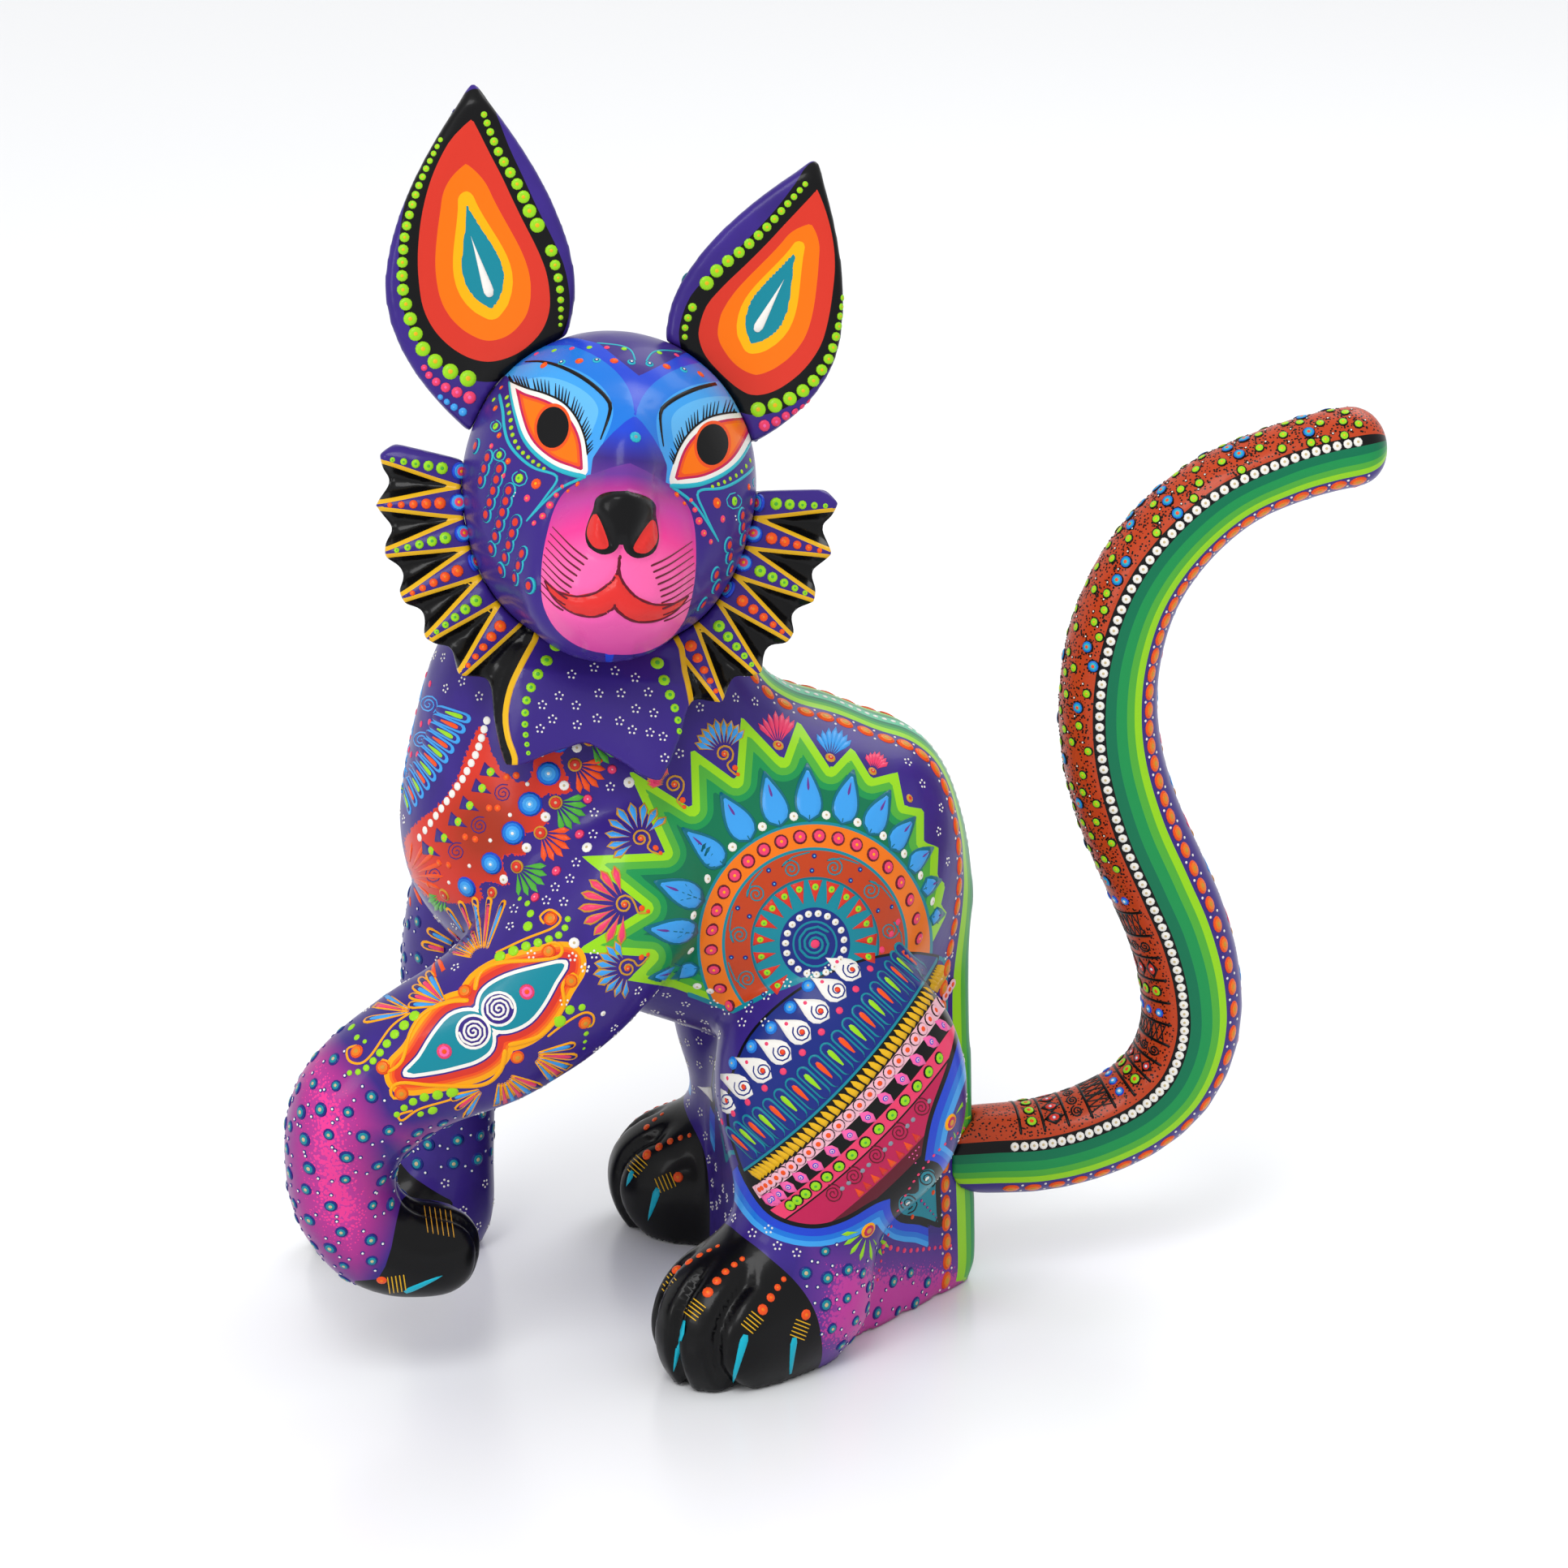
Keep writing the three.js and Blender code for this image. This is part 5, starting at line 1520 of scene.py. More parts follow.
def draw_half_face(brush, side):
    """Brow line, lashes, lines under the eye, dots, scales, whiskers and lips on one side."""
    def line(*points):
        return rounded(inward(points, side))

    brush.stroke(line((27.9, 30.9), (23.9, 31.4), (19.6, 30.8), (14.6, 29.1), (10.1, 26.6), (7, 24),
                      (6.1, 22), (6.6, 18.5), (7.7, 14.1)),
                 lambda t: 0.5 + 0.8 * math.sin(math.pi * t) ** 0.7, "black")
    brush.stroke(line((31.2, 25.8), (30.2, 21.8), (28.8, 17.7), (26.6, 12.9), (23.4, 9.4), (18.7, 6.5),
                      (14.2, 5.2), (10.2, 4.8)), taper(0.7, 1.5), "aqua")
    lid = line((30.6, 25.8), (26.9, 24.7), (22, 23.8), (17.3, 22), (13.8, 18.5), (11.5, 14.2), (10.4, 10.1))
    brush.stroke(lid, 0.6, "black")
    draw_lashes(brush, lid, side)
    under = line((31.3, 21.9), (30.5, 18.8), (29.8, 16.5), (29.3, 13.9), (28.4, 11.9), (26.9, 9.7),
                 (25.2, 8.5),
                 (23.4, 7.2), (21.8, 6.4), (19.8, 5.3))
    brush.row(under, 1.0, "lime", ("yellow", 0.4), gap=0.4, ends=(0.75, 0.55))
    brush.stroke(line((33.2, 22.5), (31.9, 18.4), (31.2, 14.8), (29.7, 11), (26.7, 7.9), (22.8, 5.6),
                      (17.2, 4.1), (19.4, -0.9), (23.5, -7.4)), taper(1.1, 0.65), "aqua")
    brush.stroke(line((10.5, 4.8), (15.5, 1.9), (18.8, -1.3), (23.5, -7.4)), taper(1.0, 0.5), "aqua")
    for middle, r, dot in (((33.3, 14.7), 1.5, 1.0), ((31.7, 7.9), 1.7, 1.0), ((26.3, 2.8), 2.1, 1.25)):
        centre = inward([middle], side)[0]
        brush.stroke(spiral(centre, r, 0.95, start=90, hand=side, inner=0.8), 0.4, "aqua")
        brush.bead(centre, dot, "lime", ("leaf_green", 0.35))
    for middle, r, name in (
        ((32.2, 12.6), 0.85, "tangerine"), ((29.4, 6.6), 0.9, "tangerine"),
        ((22.1, 1.9), 1.45, "tangerine"),
        ((30.3, 3.1), 0.95, "rose"), ((23.9, -1.8), 1.0, "rose"), ((18.2, -2.9), 1.05, "rose"),
        ((19.7, -5.7), 0.95, "rose"), ((21.6, -7.6), 0.75, "rose"), ((16.9, -0.3), 0.75, "rose"),
        ((15.7, 1.9), 0.6, "rose"), ((33.8, 19), 0.9, "tangerine"), ((33.8, 9.8), 0.8, "rose"),
        ((32.9, 24.1), 0.7, "tangerine"), ((34.4, 21), 0.7, "lime"), ((12.1, 2.9), 0.8, "tangerine"),
        ((14.2, 1), 0.6, "tangerine"),
    ):
        brush.bead(inward([middle], side)[0], r, name, ("amber", 0.3))
    brush.sprigs(inward([(27.6, -1)], side), 0.8)
    draw_scales(brush, side)
    for k in range(10):
        root = np.array((17.1, -8)) + np.array((0.35 * min(k, 4), -1.72 * k))
        tip = root + np.array((-9.4 + 0.35 * k, -7.0 + 0.28 * k))
        middle = (root + tip) / 2 + np.array((-0.7, -1.0))
        brush.stroke(line(tuple(root), tuple(middle), tuple(tip)),
                     taper(0.24, 0.64), "maroon")
    upper = line((-0.9, -13.1), (-0.2, -16.3), (1.4, -19.6), (4.9, -22.8), (9.5, -24.2), (14.1, -23.5),
                 (17.7, -21.2))
    brush.stroke(upper, taper(1.0, 0.4), "maroon")
    lower = line((-2.1, -25.1), (0.1, -26), (2.3, -27.7), (5.6, -28.8), (10.5, -28.1), (15, -25.2),
                 (17.7, -21.2))
    brush.stroke(lower, taper(0.9, 0.4), "maroon")


def draw_half_crown(brush, side):
    """The line and two rows of dots over one brow."""
    top = rounded(inward([(11, 37.3), (5.5, 37.3), (2.6, 36.4), (1.3, 34.1)], side))
    brush.stroke(top, 0.55, "aqua")
    for k in range(6):
        ringed = (("tangerine", 1), ("orange", 0.35)) if k % 2 else (("aqua", 1), ("navy", 0.6),
                                                                     ("white", 0.3))
        brush.bead((side * (2.2 + 4.2 * k), 33.6 - 0.12 * k * k), 1.15, *ringed)
        brush.bead((side * (4.3 + 4.2 * k), 36.6 - 0.14 * k * k), 0.8, "rose" if k % 2 else "lime")


def draw_scales(brush, side):
    """Red-centred scales in teal cells over the outer cheek."""
    top_out, top_in, low_out, low_in = (np.array(p) for p in SCALES)
    rows, columns = 8, 3
    for row in range(rows):
        t = row / (rows - 1)
        for k in range(columns):
            s = (k + 0.5 * (row % 2)) / (columns - 0.5)
            place = (top_out * (1 - s) + top_in * s) * (1 - t) + (low_out * (1 - s) + low_in * s) * t
            brush.bead(inward([place], side)[0], 2.3, "aqua", ("violet", 0.78), ("red", 0.48))


def make_head():
    skin = cad_skin("head_skin", ["head"], grow=0.5, voxel=0.9, steps=34)
    carve_face(skin)
    paint_head(skin)
    dress(skin, "carving", ["head"])
    brush = Brush(skin, FACE)
    draw_face(brush)
    co = coordinates(skin.data) / MM
    behind = head_depth(co) > 8
    brush.scatter(co[behind], 5, 7.5, flower_at(brush))
    brush.scatter(co[behind], 6, 8.5, ringed_at(brush, [("royal", 1), ("sky", 0.75), ("rose", 0.45)]))
    brush.finish("face_motifs", "carving", "face_paint")


# ---- Ruff ---------------------------------------------------------------------------------------

RAYS = [-3.5 + 11.8 * k for k in range(6)]  # degrees below the horizontal
RAY_FOOT, RAY_TIP = 34.0, 57.5
BIB = outline([
    (-11.8, -30.5), (-14.7, -37.2), (-17.6, -43.5), (-19.6, -49.3), (-20.2, -55.7), (-19, -61.2),
    (-16.9, -65.8),
    (-14.5, -74.4), (1.1, -76.8), (25.2, -70.3), (26.3, -61.4), (26.2, -55.8), (24.9, -48.7), (22.5, -40.9),
    (19.1, -32.1), (3.1, -20.6),
])

BIB_SPRIGS = (
    (-5.2, -44.2), (0.2, -42), (5.4, -42.3), (10.5, -43.4), (-7.8, -49.7), (-3.4, -51.6), (1.9, -48.1),
    (7.3, -47.5), (14, -46.6), (-11.7, -52.3), (-8.9, -55.5), (-2.7, -56.3), (2, -54.2), (7.6, -54.3),
    (11.3, -50.9), (15.8, -51.5), (-11.7, -58.1), (15.3, -56.3), (18.6, -57), (10.9, -56.1),
    (19.5, -62.1),
)


def paint_ruff(skin):
    mesh, co, u, v = laid_out(skin, RUFF)
    radius = np.hypot(u, v)
    down = np.degrees(np.arctan2(-v, np.abs(u)))
    off = np.min([np.abs(down - ray) for ray in RAYS], axis=0)
    out = np.clip((radius - RAY_FOOT) / (RAY_TIP - RAY_FOOT), 0, 1)
    half = 5.9 * (1 - out) ** 1.35 + 0.7
    ray = np.radians(off - half) * radius
    ray = np.minimum(ray, radius - RAY_FOOT)
    ray = np.where(down < RAYS[0], -3, ray)
    ray = np.where(down > RAYS[-1] + 5.9, np.maximum(ray, np.radians(down - RAYS[-1] - half) * radius), ray)
    ray = np.where(radius < RAY_FOOT - 2, -4, ray)
    bib = outside(u, v, BIB)
    # Valleys are cut a little deeper between the rays, on the front only.
    forward = HEAD_TURN @ Vector((0, -1, 0))
    front = normals(mesh) @ np.array(forward)
    low = np.clip((-38 - v) / 6, 0, 1) * np.clip(front * 3, 0, 1)
    valley = np.clip(np.minimum(ray, bib) / 2.2, 0, 1) * np.clip(front * 2, 0, 1)
    set_coordinates(mesh, (co - np.array(forward) * (1.8 * valley - 2.2 * low)[:, None]) * MM)
    coat = Coat(mesh, "ruff_coat", "black")
    coat.lay(ray, [(-50, "violet"), (-0.5, "yellow"), (0.45, None)])
    coat.lay(bib, [(-50, "violet"), (-0.6, "gold"), (-0.35, "yellow"), (0.8, None)])
    coat.lay(front, [(-1, "violet"), (-0.55, None)])
    coat.finish(0.24)


def draw_ruff(brush):
    ringed = [("royal", 1), ("sky", 0.8), ("rose", 0.52), ("amber", 0.2)]
    for side in (-1, 1):
        for k, ray in enumerate(RAYS):
            def at(radius):
                place = turn(-ray, radius)
                return (side * place[0], place[1])

            brush.bead(at(37.2), 2.35, *ringed)
            name = ("lime", "leaf_green") if k % 2 == 0 else ("tangerine", "orange")
            for i in range(5):
                brush.bead(at(41.8 + 3.5 * i - 0.1 * i * i), 1.6 - 0.22 * i, name[0], (name[1], 0.35))
        place = turn(-67, 38)
        brush.bead((side * place[0], place[1]), 2.1, *ringed)
    for line in (
        ((-9.4, -37.8), (-13.3, -44.6), (-15.5, -50.5), (-15.7, -55.4), (-15.1, -60), (-13.7, -65.5)),
        ((15.7, -39.4), (19, -45.9), (21.3, -50.7), (22.6, -55.3), (22.8, -60.5)),
    ):
        brush.row(rounded(line), 1.65, "lime", ("leaf_green", 0.4), gap=0.7, ends=(1.1, 0.35))
    brush.sprigs(BIB_SPRIGS, 0.95)


def make_ruff():
    skin = cad_skin("ruff_skin", ["ruff"], grow=0.45, voxel=0.9, steps=7)
    paint_ruff(skin)
    dress(skin, "carving", ["ruff"])
    brush = Brush(skin, RUFF)
    draw_ruff(brush)
    co = coordinates(skin.data) / MM
    rear = normals(skin.data) @ np.array(HEAD_TURN @ Vector((0, 1, 0))) > 0.5
    brush.scatter(co[rear], 8, 6.5, flower_at(brush))
    brush.finish("ruff_motifs", "carving", "ruff_paint")


# ---- Ears ---------------------------------------------------------------------------------------

EARS = {
    "right_ear": {
        "flame": outline([
            (-79.8, 176.5), (-87.2, 169.2), (-91, 161.6), (-93.6, 153.9), (-95.5, 146.2),
            (-96.3, 137.2), (-96, 129.5),
            (-94.9, 122.4), (-91.7, 116), (-86.5, 110.9), (-80.7, 108), (-74.9, 107.5), (-68.5, 109.6),
            (-63.4, 113.4),
            (-60.2, 117.9), (-58.8, 123.7), (-59.7, 131.4), (-62.1, 137.9), (-66.6, 146.9),
            (-70.4, 155.2), (-74.3, 163.6),
            (-77.5, 171.9),
        ]),
        "drop": drop_outline((-82.3, 151), (-75.6, 122.8), 10.64),
        "spark": ((-81, 141.7), (-75.9, 126), 2.9),
        "rows": (
            (((-88.9, 166.7), (-93.8, 156.5), (-97.3, 145.9), (-98.6, 137.2), (-98.6, 127.9),
              (-96.3, 119.2), (-92.6, 111.5),
              (-84.9, 105.9), (-79.6, 104.6)), 1.75, (0.4, 1.35), "lime"),
            (((-77.6, 173.2), (-73.9, 163.6), (-68.7, 154.6), (-65.3, 147.1),
              (-62.4, 142.4)), 1.6, (0.55, 1.3), "lime"),
            (((-60.2, 138), (-58.2, 129.8), (-57.7, 123.1), (-57.9, 117.9)), 1.5, (1.1, 0.35), "lime"),
            (((-93.1, 107.7), (-91.3, 105.1), (-88.3, 103), (-84.8, 101.4),
              (-80.9, 99.8)), 1.45, (0.6, 1.2), "rose"),
            (((-88.9, 100.1), (-86.8, 98.5), (-84.1, 96.7), (-81.2, 95.6)), 1.1, (0.7, 1.15), "sky"),
        ),
    },
    "left_ear": {
        "flame": outline([
            (8.5, 157.7), (5.7, 153.4), (0.6, 146.7), (-4.5, 141.1), (-10.6, 135), (-16.7, 129.4),
            (-21.3, 124.4),
            (-23.6, 118.2), (-23.5, 114.2), (-21.5, 109.6), (-17.2, 105), (-12.6, 100.9), (-8.5, 98.9),
            (-3.4, 99.4),
            (1.6, 102), (6.7, 106.5), (10.8, 112.6), (12.8, 119.3), (14.1, 127.4), (14.6, 134.5),
            (13.6, 142.7),
            (11.8, 150.8), (10, 155.9),
        ]),
        "drop": drop_outline((3.6, 139.1), (-8.5, 113.6), 9.88),
        "spark": ((0, 130.5), (-7.3, 117), 2.7),
        "rows": (
            (((5.5, 155.2), (0.5, 149.6), (-4.6, 143.9), (-10.8, 138.2), (-17.3, 132.9),
              (-21.9, 126.9)), 1.75, (0.45, 1.15),
             "lime"),
            (((-23.7, 123.3), (-25.1, 119.9), (-25.7, 117.1), (-25.5, 113.7)), 1.2, (1.0, 0.6), "lime"),
            (((15.2, 133.8), (15.2, 127.2), (14.7, 122.1), (13.7, 116.5), (11.6, 110.1), (9.2, 106.4),
              (5.9, 102.5),
              (1.5, 99.7), (-3.4, 97.6), (-8.3, 96.6)), 1.6, (0.4, 1.35), "lime"),
            (((7.6, 100.3), (5.8, 98.5), (3.3, 96.6), (0.5, 95.2), (-2.6, 93.5), (-6.5, 92.3)), 1.3,
             (0.5, 1.25), "rose"),
            (((5.6, 95.2), (3.8, 93.7), (2.1, 92.3), (0.1, 90.8), (-2.8, 89.1), (-6, 88.1)), 1.05,
             (0.5, 1.2), "sky"),
        ),
    },
}
FLAME = ((-60, None), (-3.6, "black"), (0, "red"), (0.17, "flame_1"), (0.36, "flame_2"), (0.55, "flame_3"),
         (0.72, "flame_4"), (0.87, "flame_5"), (1.0, "teal"), (30, "teal"))

FLAME_SCALE = 100  # spreads the flame's values out, so that lay's margin at either end is a small one


def make_ear(name):
    """The flame's bands run from its outline, at nought, to the teal drop's, at one."""
    art = EARS[name]
    skin = cad_skin(name + "_skin", [name], grow=0.45, voxel=0.8, steps=9)
    mesh, co, u, v = laid_out(skin, MAIN)
    rim = outside(u, v, art["flame"])
    core = outside(u, v, art["drop"])
    forward = np.array(HEAD_TURN @ Vector((0, -1, 0)))
    front = normals(mesh) @ forward
    blend = np.where(rim < 0, rim / (rim - np.maximum(core, 0) - 1e-6) - np.minimum(core, 0), -rim)
    coat = Coat(mesh, name + "_coat", "violet")
    flames = [(value * FLAME_SCALE, hue) for value, hue in FLAME]
    coat.lay(np.where(front > 0.05, blend * FLAME_SCALE, -400), flames)
    coat.finish(0.3)
    dress(skin, name, [name])
    brush = Brush(skin, MAIN)
    tip, base, width = art["spark"]
    brush.stroke([tip, base], lambda t: width * min(t * 1.15, 1) ** 1.1, "white", lift=0.02)
    for line, r, ends, hue in art["rows"]:
        inner = {"lime": "yellow", "rose": "pink", "sky": "pale_sky"}[hue]
        brush.row(rounded(line), r, hue, (inner, 0.32), gap=0.55, ends=ends)
    rear = front < -0.55
    brush.scatter(co[rear], 11, 6.5, flower_at(brush))
    brush.scatter(co[rear], 12, 7.5, ringed_at(brush, [("deep_teal", 1), ("mint", 0.7), ("lime", 0.35)]))
    brush.finish(name + "_motifs", name, "ear_paint")


# ---- Tail ---------------------------------------------------------------------------------------

TAIL_LINE = rounded([
    (22, 35), (38, 35), (53, 35), (67, 38), (80, 44), (89, 53), (93.5, 66), (93, 80), (89, 95), (83, 109),
    (76, 125), (71, 142), (69.5, 157), (71, 172), (76, 187), (85, 200), (98, 211), (113, 217.5),
    (124, 220.5),
    (133, 222), (146, 224),
], steps=10)  # its middle line in the spine plane: Y, then Z
TAIL_RADIUS = 13
TAIL_BANDS = (
    (-2, "violet"), (-0.5, "lime"), (-0.34, "leaf_green"), (-0.18, "green"), (0.05, "pine"),
    (0.26, "black"),
    (0.5, "rust"),
)


class Wrap:
    """A sheet wound round the tail: u runs along it and v round it, from its left side upwards."""

    def __init__(self, line):
        self.line = line
        self.lengths = line_lengths(line)

    def ray(self, u, v):
        y = np.interp(u, self.lengths, self.line[:, 0])
        z = np.interp(u, self.lengths, self.line[:, 1])
        ahead = np.interp(u + 1, self.lengths, self.line[:,
                                                         0]) - np.interp(u - 1, self.lengths, self.line[:, 0])
        rise = np.interp(u + 1, self.lengths, self.line[:,
                                                        1]) - np.interp(u - 1, self.lengths, self.line[:, 1])
        up = Vector((0, -rise, ahead)).normalized()
        angle = v / TAIL_RADIUS
        out = Vector((1, 0, 0)) * math.cos(angle) + up * math.sin(angle)
        return Vector((0, y, z)) + out * 22, -out

    def share_up(self, co):
        """How far above the tail's side each point lies, as a share of its radius there."""
        best = np.full(len(co), 1e9)
        up = np.zeros(len(co))
        tangents = np.gradient(self.line, axis=0)
        tangents /= np.linalg.norm(tangents, axis=1)[:, None]
        for (y, z), (ty, tz) in zip(self.line, tangents):
            dy, dz = co[:, 1] - y, co[:, 2] - z
            away = dy * dy + dz * dz
            closer = away < best
            best = np.where(closer, away, best)
            up = np.where(closer, ty * dz - tz * dy, up)
        return up / np.hypot(up, co[:, 0])


TAIL_START = 22  # where the art begins, along the tail's line
TAIL_TOP = math.pi * TAIL_RADIUS / 2  # the tail's upper edge, as a place round it
CELL = 7.4
CELLS = 15


def draw_tail(brush, wrap):
    end = wrap.lengths[-1] - 12
    for side in (0, 1):
        draw_tail_side(brush, side, end)
    for i in range(CELLS):
        draw_cell(brush, TAIL_START + 2 + CELL * (i + 0.5), i % 5)
    draw_tail_end(brush, TAIL_START + 4 + CELLS * CELL, end)
    draw_underside(brush, end)


def draw_tail_side(brush, side, end):
    """A row of white dots and a chain of orange ones, along one side of the tail."""
    bead_v = TAIL_RADIUS * math.asin(0.38)
    chain_v = -TAIL_RADIUS * math.asin(0.68)

    def way(v):
        return v if side == 0 else 2 * TAIL_TOP - v

    at = TAIL_START
    while at < end - 2:
        brush.bead((at, way(bead_v)), 1.25, "white", ("bone", 0.35))
        at += 2.7
    at = TAIL_START
    while at < end:
        spot = brush.hit(at, way(chain_v))
        ahead = brush.hit(at + 0.8, way(chain_v))
        if spot and ahead:
            along = (ahead[0] - spot[0]).normalized()
            along = (along - spot[1] * along.dot(spot[1])).normalized()
            brush.bead_at(*spot, 1.8, [("tangerine", 1), ("orange", 0.7), ("gold", 0.35)], (along, 1.35))
        brush.bead((at + 2.75, way(chain_v + 1.6)), 0.42, "white")
        brush.bead((at + 2.75, way(chain_v - 1.8)), 0.42, "white")
        at += 5.5


def draw_cell(brush, u, kind):
    """One cell on the tail's upper side, closed by a black line, with one of five fillings."""
    brush.stroke([(u - CELL / 2, TAIL_TOP - 12), (u - CELL / 2, TAIL_TOP + 12)], 0.9, "black")
    for v in (-8.2, -4.1, 0, 4.1, 8.2):
        round_ = TAIL_TOP + v
        place = (u, round_)
        if kind == 0:
            brush.bead(place, 1.75, "black", ("lime", 0.75), ("tangerine", 0.35))
        elif kind == 1:
            brush.stroke([(u - 3.2, round_), (u + 3.2, round_)], diamond(4.6), "black", pointed=True)
            brush.stroke([(u - 2.2, round_),
                          (u + 2.2, round_)], diamond(3.0), "red", lift=0.05, pointed=True)
            brush.bead(place, 0.8, "sky", ("white", 0.5))
        elif kind == 2:
            brush.stroke(spiral(place, 2.0, 2, start=90), 0.6, "black")
        elif kind == 3:
            for k in range(3):
                low, high = round_ - 2 + 1.9 * k, round_ - 0.3 + 1.9 * k
                brush.stroke([(u - 3.4, low), (u + 3.4, high)], 0.5, "black")
                brush.stroke([(u - 3.4, high), (u + 3.4, low)], 0.5, "black")
        else:
            brush.bead(place, 1.35, "royal", ("sky", 0.7), ("white", 0.35))


def draw_tail_end(brush, start, end):
    """Ringed dots among black specks, strewn over the upper side beyond the cells."""
    rng = random.Random(21)
    taken = []
    for _ in range(700):
        place = (rng.uniform(start, end), rng.uniform(-12.5, 12.5))
        if any((place[0] - u) ** 2 + (place[1] - v) ** 2 < 3.7 ** 2 for u, v in taken):
            continue
        taken.append(place)
        spot = np.array(place) + (0, TAIL_TOP)
        if len(taken) % 4 == 0:
            brush.bead(spot, 1.8, "black", ("blue", 0.82), ("aqua", 0.6), ("tangerine", 0.3))
        else:
            brush.bead(spot, 1.45, "black", ("lime", 0.72), ("yellow", 0.25))
        for _ in range(7):
            speck = spot + (rng.uniform(-3, 3), rng.uniform(-3, 3))
            brush.bead(speck, rng.uniform(0.2, 0.4), "black")
        brush.bead(spot + (2.1, 1.4), 0.45, "black", ("white", 0.6))


def draw_underside(brush, end):
    """Pink and blue petals and small flowers on the violet underside."""
    at = TAIL_START + 3
    while at < end - 6:
        hue = "rose" if int(at / 14) % 2 else "sky"
        brush.fan((at, -TAIL_TOP), 0, 70, 5, 1.2, 7, 1.4, (hue,))
        brush.bead((at, -TAIL_TOP), 1.3, "gold", ("red", 0.6))
        brush.sprigs([(at + 10, -TAIL_TOP)])
        at += 14


def make_tail():
    skin = cad_skin("tail_skin", ["tail"], grow=0.35, voxel=0.9, steps=14)
    mesh = skin.data
    wrap = Wrap(TAIL_LINE)
    share = wrap.share_up(coordinates(mesh) / MM)
    coat = Coat(mesh, "tail_coat", "violet")
    coat.lay(share * 20, [(value * 20, name) for value, name in TAIL_BANDS])
    coat.fill(np.maximum(10.4 - share * 20, -0.6) + 0.3, "black", stipple=0.45)
    coat.finish(0.3)
    dress(skin, "tail", ["tail"])
    brush = Brush(skin, wrap)
    draw_tail(brush, wrap)
    brush.finish("tail_motifs", "tail", "tail_paint")


# ---- Pegs ---------------------------------------------------------------------------------------

def bare_wood():
    """Turned copal: pale, with a long grain and a few darker rays."""
    wood = Paint("bare_wood")
    place = wood.node("ShaderNodeTexCoord")
    stretch = wood.node("ShaderNodeMapping", scale=(900, 900, 60))
    grain = wood.node("ShaderNodeTexNoise", scale=1.0, detail=5)
    shades = wood.node("ShaderNodeValToRGB")
    low, high = shades.color_ramp.elements
    low.position, low.color = 0.3, (0.35, 0.21, 0.10, 1)
    high.position, high.color = 0.7, (0.72, 0.53, 0.32, 1)
    ridges = wood.node("ShaderNodeBump", strength=0.4, distance=0.0001)
    wood.links.new(place.outputs["Object"], stretch.inputs["Vector"])
    wood.links.new(stretch.outputs["Vector"], grain.inputs["Vector"])
    wood.links.new(grain.outputs["Fac"], shades.inputs["Fac"])
    wood.links.new(shades.outputs["Color"], wood.shader.inputs["Base Color"])
    wood.links.new(grain.outputs["Fac"], ridges.inputs["Height"])
    wood.links.new(ridges.outputs["Normal"], wood.shader.inputs["Normal"])
    wood.shader.inputs["Roughness"].default_value = 0.62
    return wood.material


def dress_pegs():
    wood = bare_wood()
    for name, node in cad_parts.items():
        if name.endswith("_peg"):
            for slot in node.material_slots:
                slot.material = wood


# ---- Stage --------------------------------------------------------------------------------------

def plain_material(name, shade, roughness):
    plain = Paint(name)
    plain.shader.inputs["Base Color"].default_value = (*shade, 1)
    plain.shader.inputs["Roughness"].default_value = roughness
    return plain.material


def make_camera():
    data = bpy.data.cameras.new("camera")
    data.sensor_width = 36
    data.lens = 36 * EYE_DISTANCE / SHEET_WIDTH
    data.clip_start = 0.05
    data.clip_end = 20
    camera = bpy.data.objects.new("camera", data)
    camera.location = EYE * MM
    camera.rotation_mode = "QUATERNION"
    camera.rotation_quaternion = (-TOWARDS_EYE).to_track_quat("-Z", "Y")
    bpy.context.scene.collection.objects.link(camera)
    bpy.context.scene.camera = camera


def make_lamp(name, place, size, power):
    data = bpy.data.lights.new(name, "AREA")
    data.size = size
    data.energy = power
    light = bpy.data.objects.new(name, data)
    light.location = place
    light.rotation_mode = "QUATERNION"
    light.rotation_quaternion = (Vector((0, 0, 0.15)) - Vector(place)).to_track_quat("-Z", "Y")
    bpy.context.scene.collection.objects.link(light)


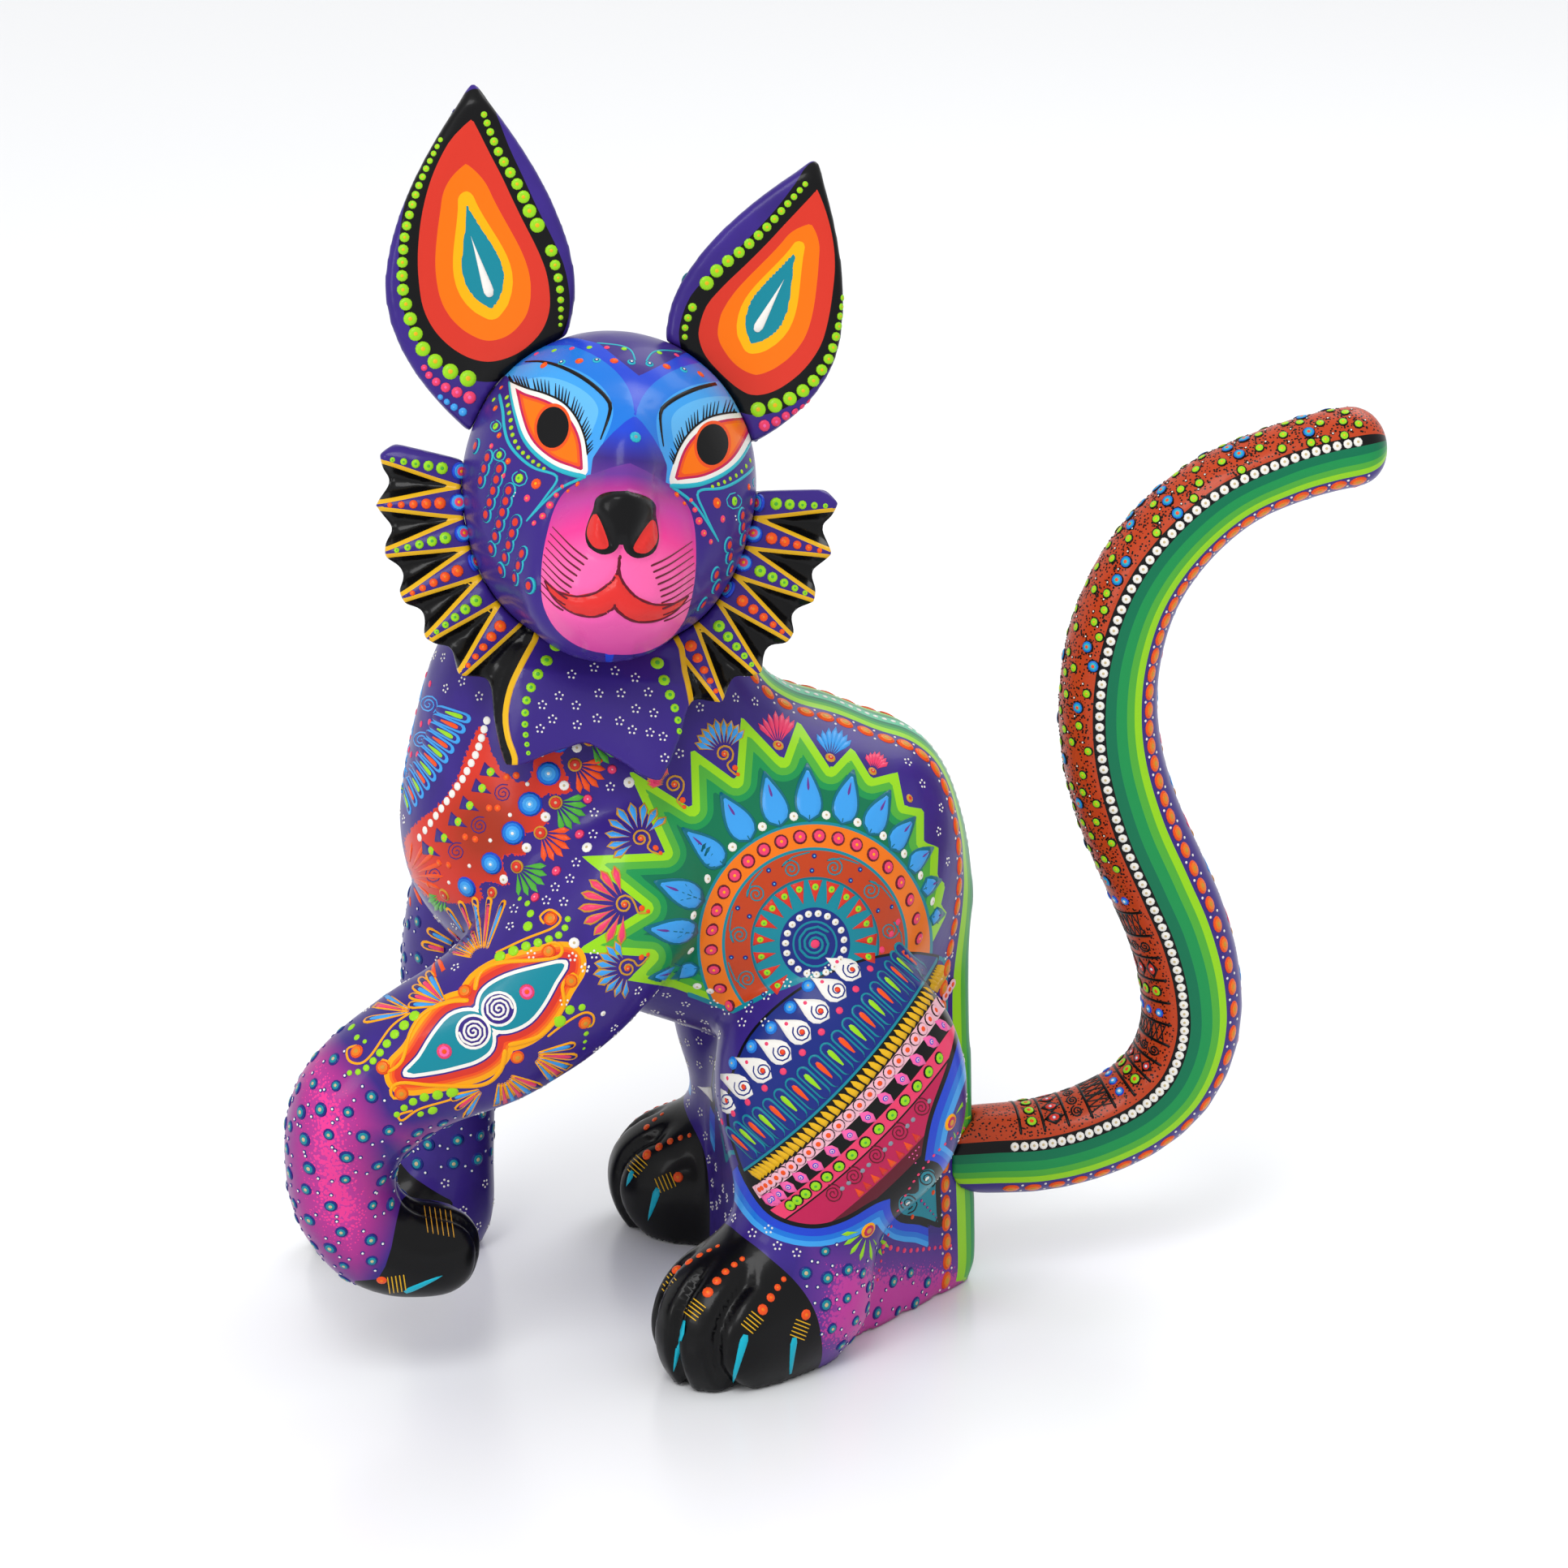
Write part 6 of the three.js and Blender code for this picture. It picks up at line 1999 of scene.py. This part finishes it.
def make_stage():
    reach = 8.0
    below = -0.0005
    mesh = bpy.data.meshes.new("floor")
    corners = [(x * reach, y * reach, below) for x, y in ((-1, -1), (1, -1), (1, 1), (-1, 1))]
    mesh.from_pydata(corners, [], [(0, 1, 2, 3)])
    floor = new_object("floor", mesh)
    mesh.materials.append(plain_material("floor", (0.86, 0.87, 0.89), 0.25))
    world = bpy.data.worlds.new("studio")
    world.use_nodes = True
    background = world.node_tree.nodes["Background"]
    background.inputs["Color"].default_value = (1, 1, 1, 1)
    background.inputs["Strength"].default_value = 0.95
    scene = bpy.context.scene
    scene.world = world
    scene.view_settings.view_transform = "Standard"
    make_lamp("key", (1.0, -0.5, 1.5), 0.7, 12)
    make_lamp("left", (0.9, -1.3, 0.7), 0.5, 4)
    make_lamp("back", (-0.8, 0.7, 1.2), 0.8, 6)


def make_body():
    skin = cad_skin("body_skin", CARVED_NODES, grow=0.7, voxel=1.3, steps=26)
    cut_toes(skin)
    areas = paint_body(skin)
    dowels = [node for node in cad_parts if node.endswith("dowel")]
    dress(skin, "carving", [*CARVED_NODES, *dowels])
    left = Brush(skin, MAIN)
    draw_flank(left)
    right = Brush(skin, OTHER)
    draw_flank(right)
    legs = Brush(skin, MAIN)
    draw_foreleg(legs)
    draw_paws(legs)
    legs.sheet = OTHER
    draw_paws(legs)
    back = Brush(skin, MAIN)
    draw_spine(back)
    co = coordinates(skin.data) / MM
    rings = [("navy", 1), ("teal", 0.66), ("bone", 0.3)]
    legs.scatter(co[areas["ringed"]], 2, 6.0, ringed_at(legs, rings), (left, right, back))
    back.scatter(co[areas["plain"]], 3, 6.0, flower_at(back), (left, right, legs))
    left.finish("left_side_motifs", "carving", "body_paint")
    right.finish("right_side_motifs", "carving", "body_paint")
    legs.finish("leg_motifs", "carving", "leg_paint")
    back.finish("back_motifs", "carving", "body_paint")


# ---- The whole figure ---------------------------------------------------------------------------

make_camera()
make_stage()
make_body()
make_head()
make_ruff()
make_ear("left_ear")
make_ear("right_ear")
make_tail()
dress_pegs()
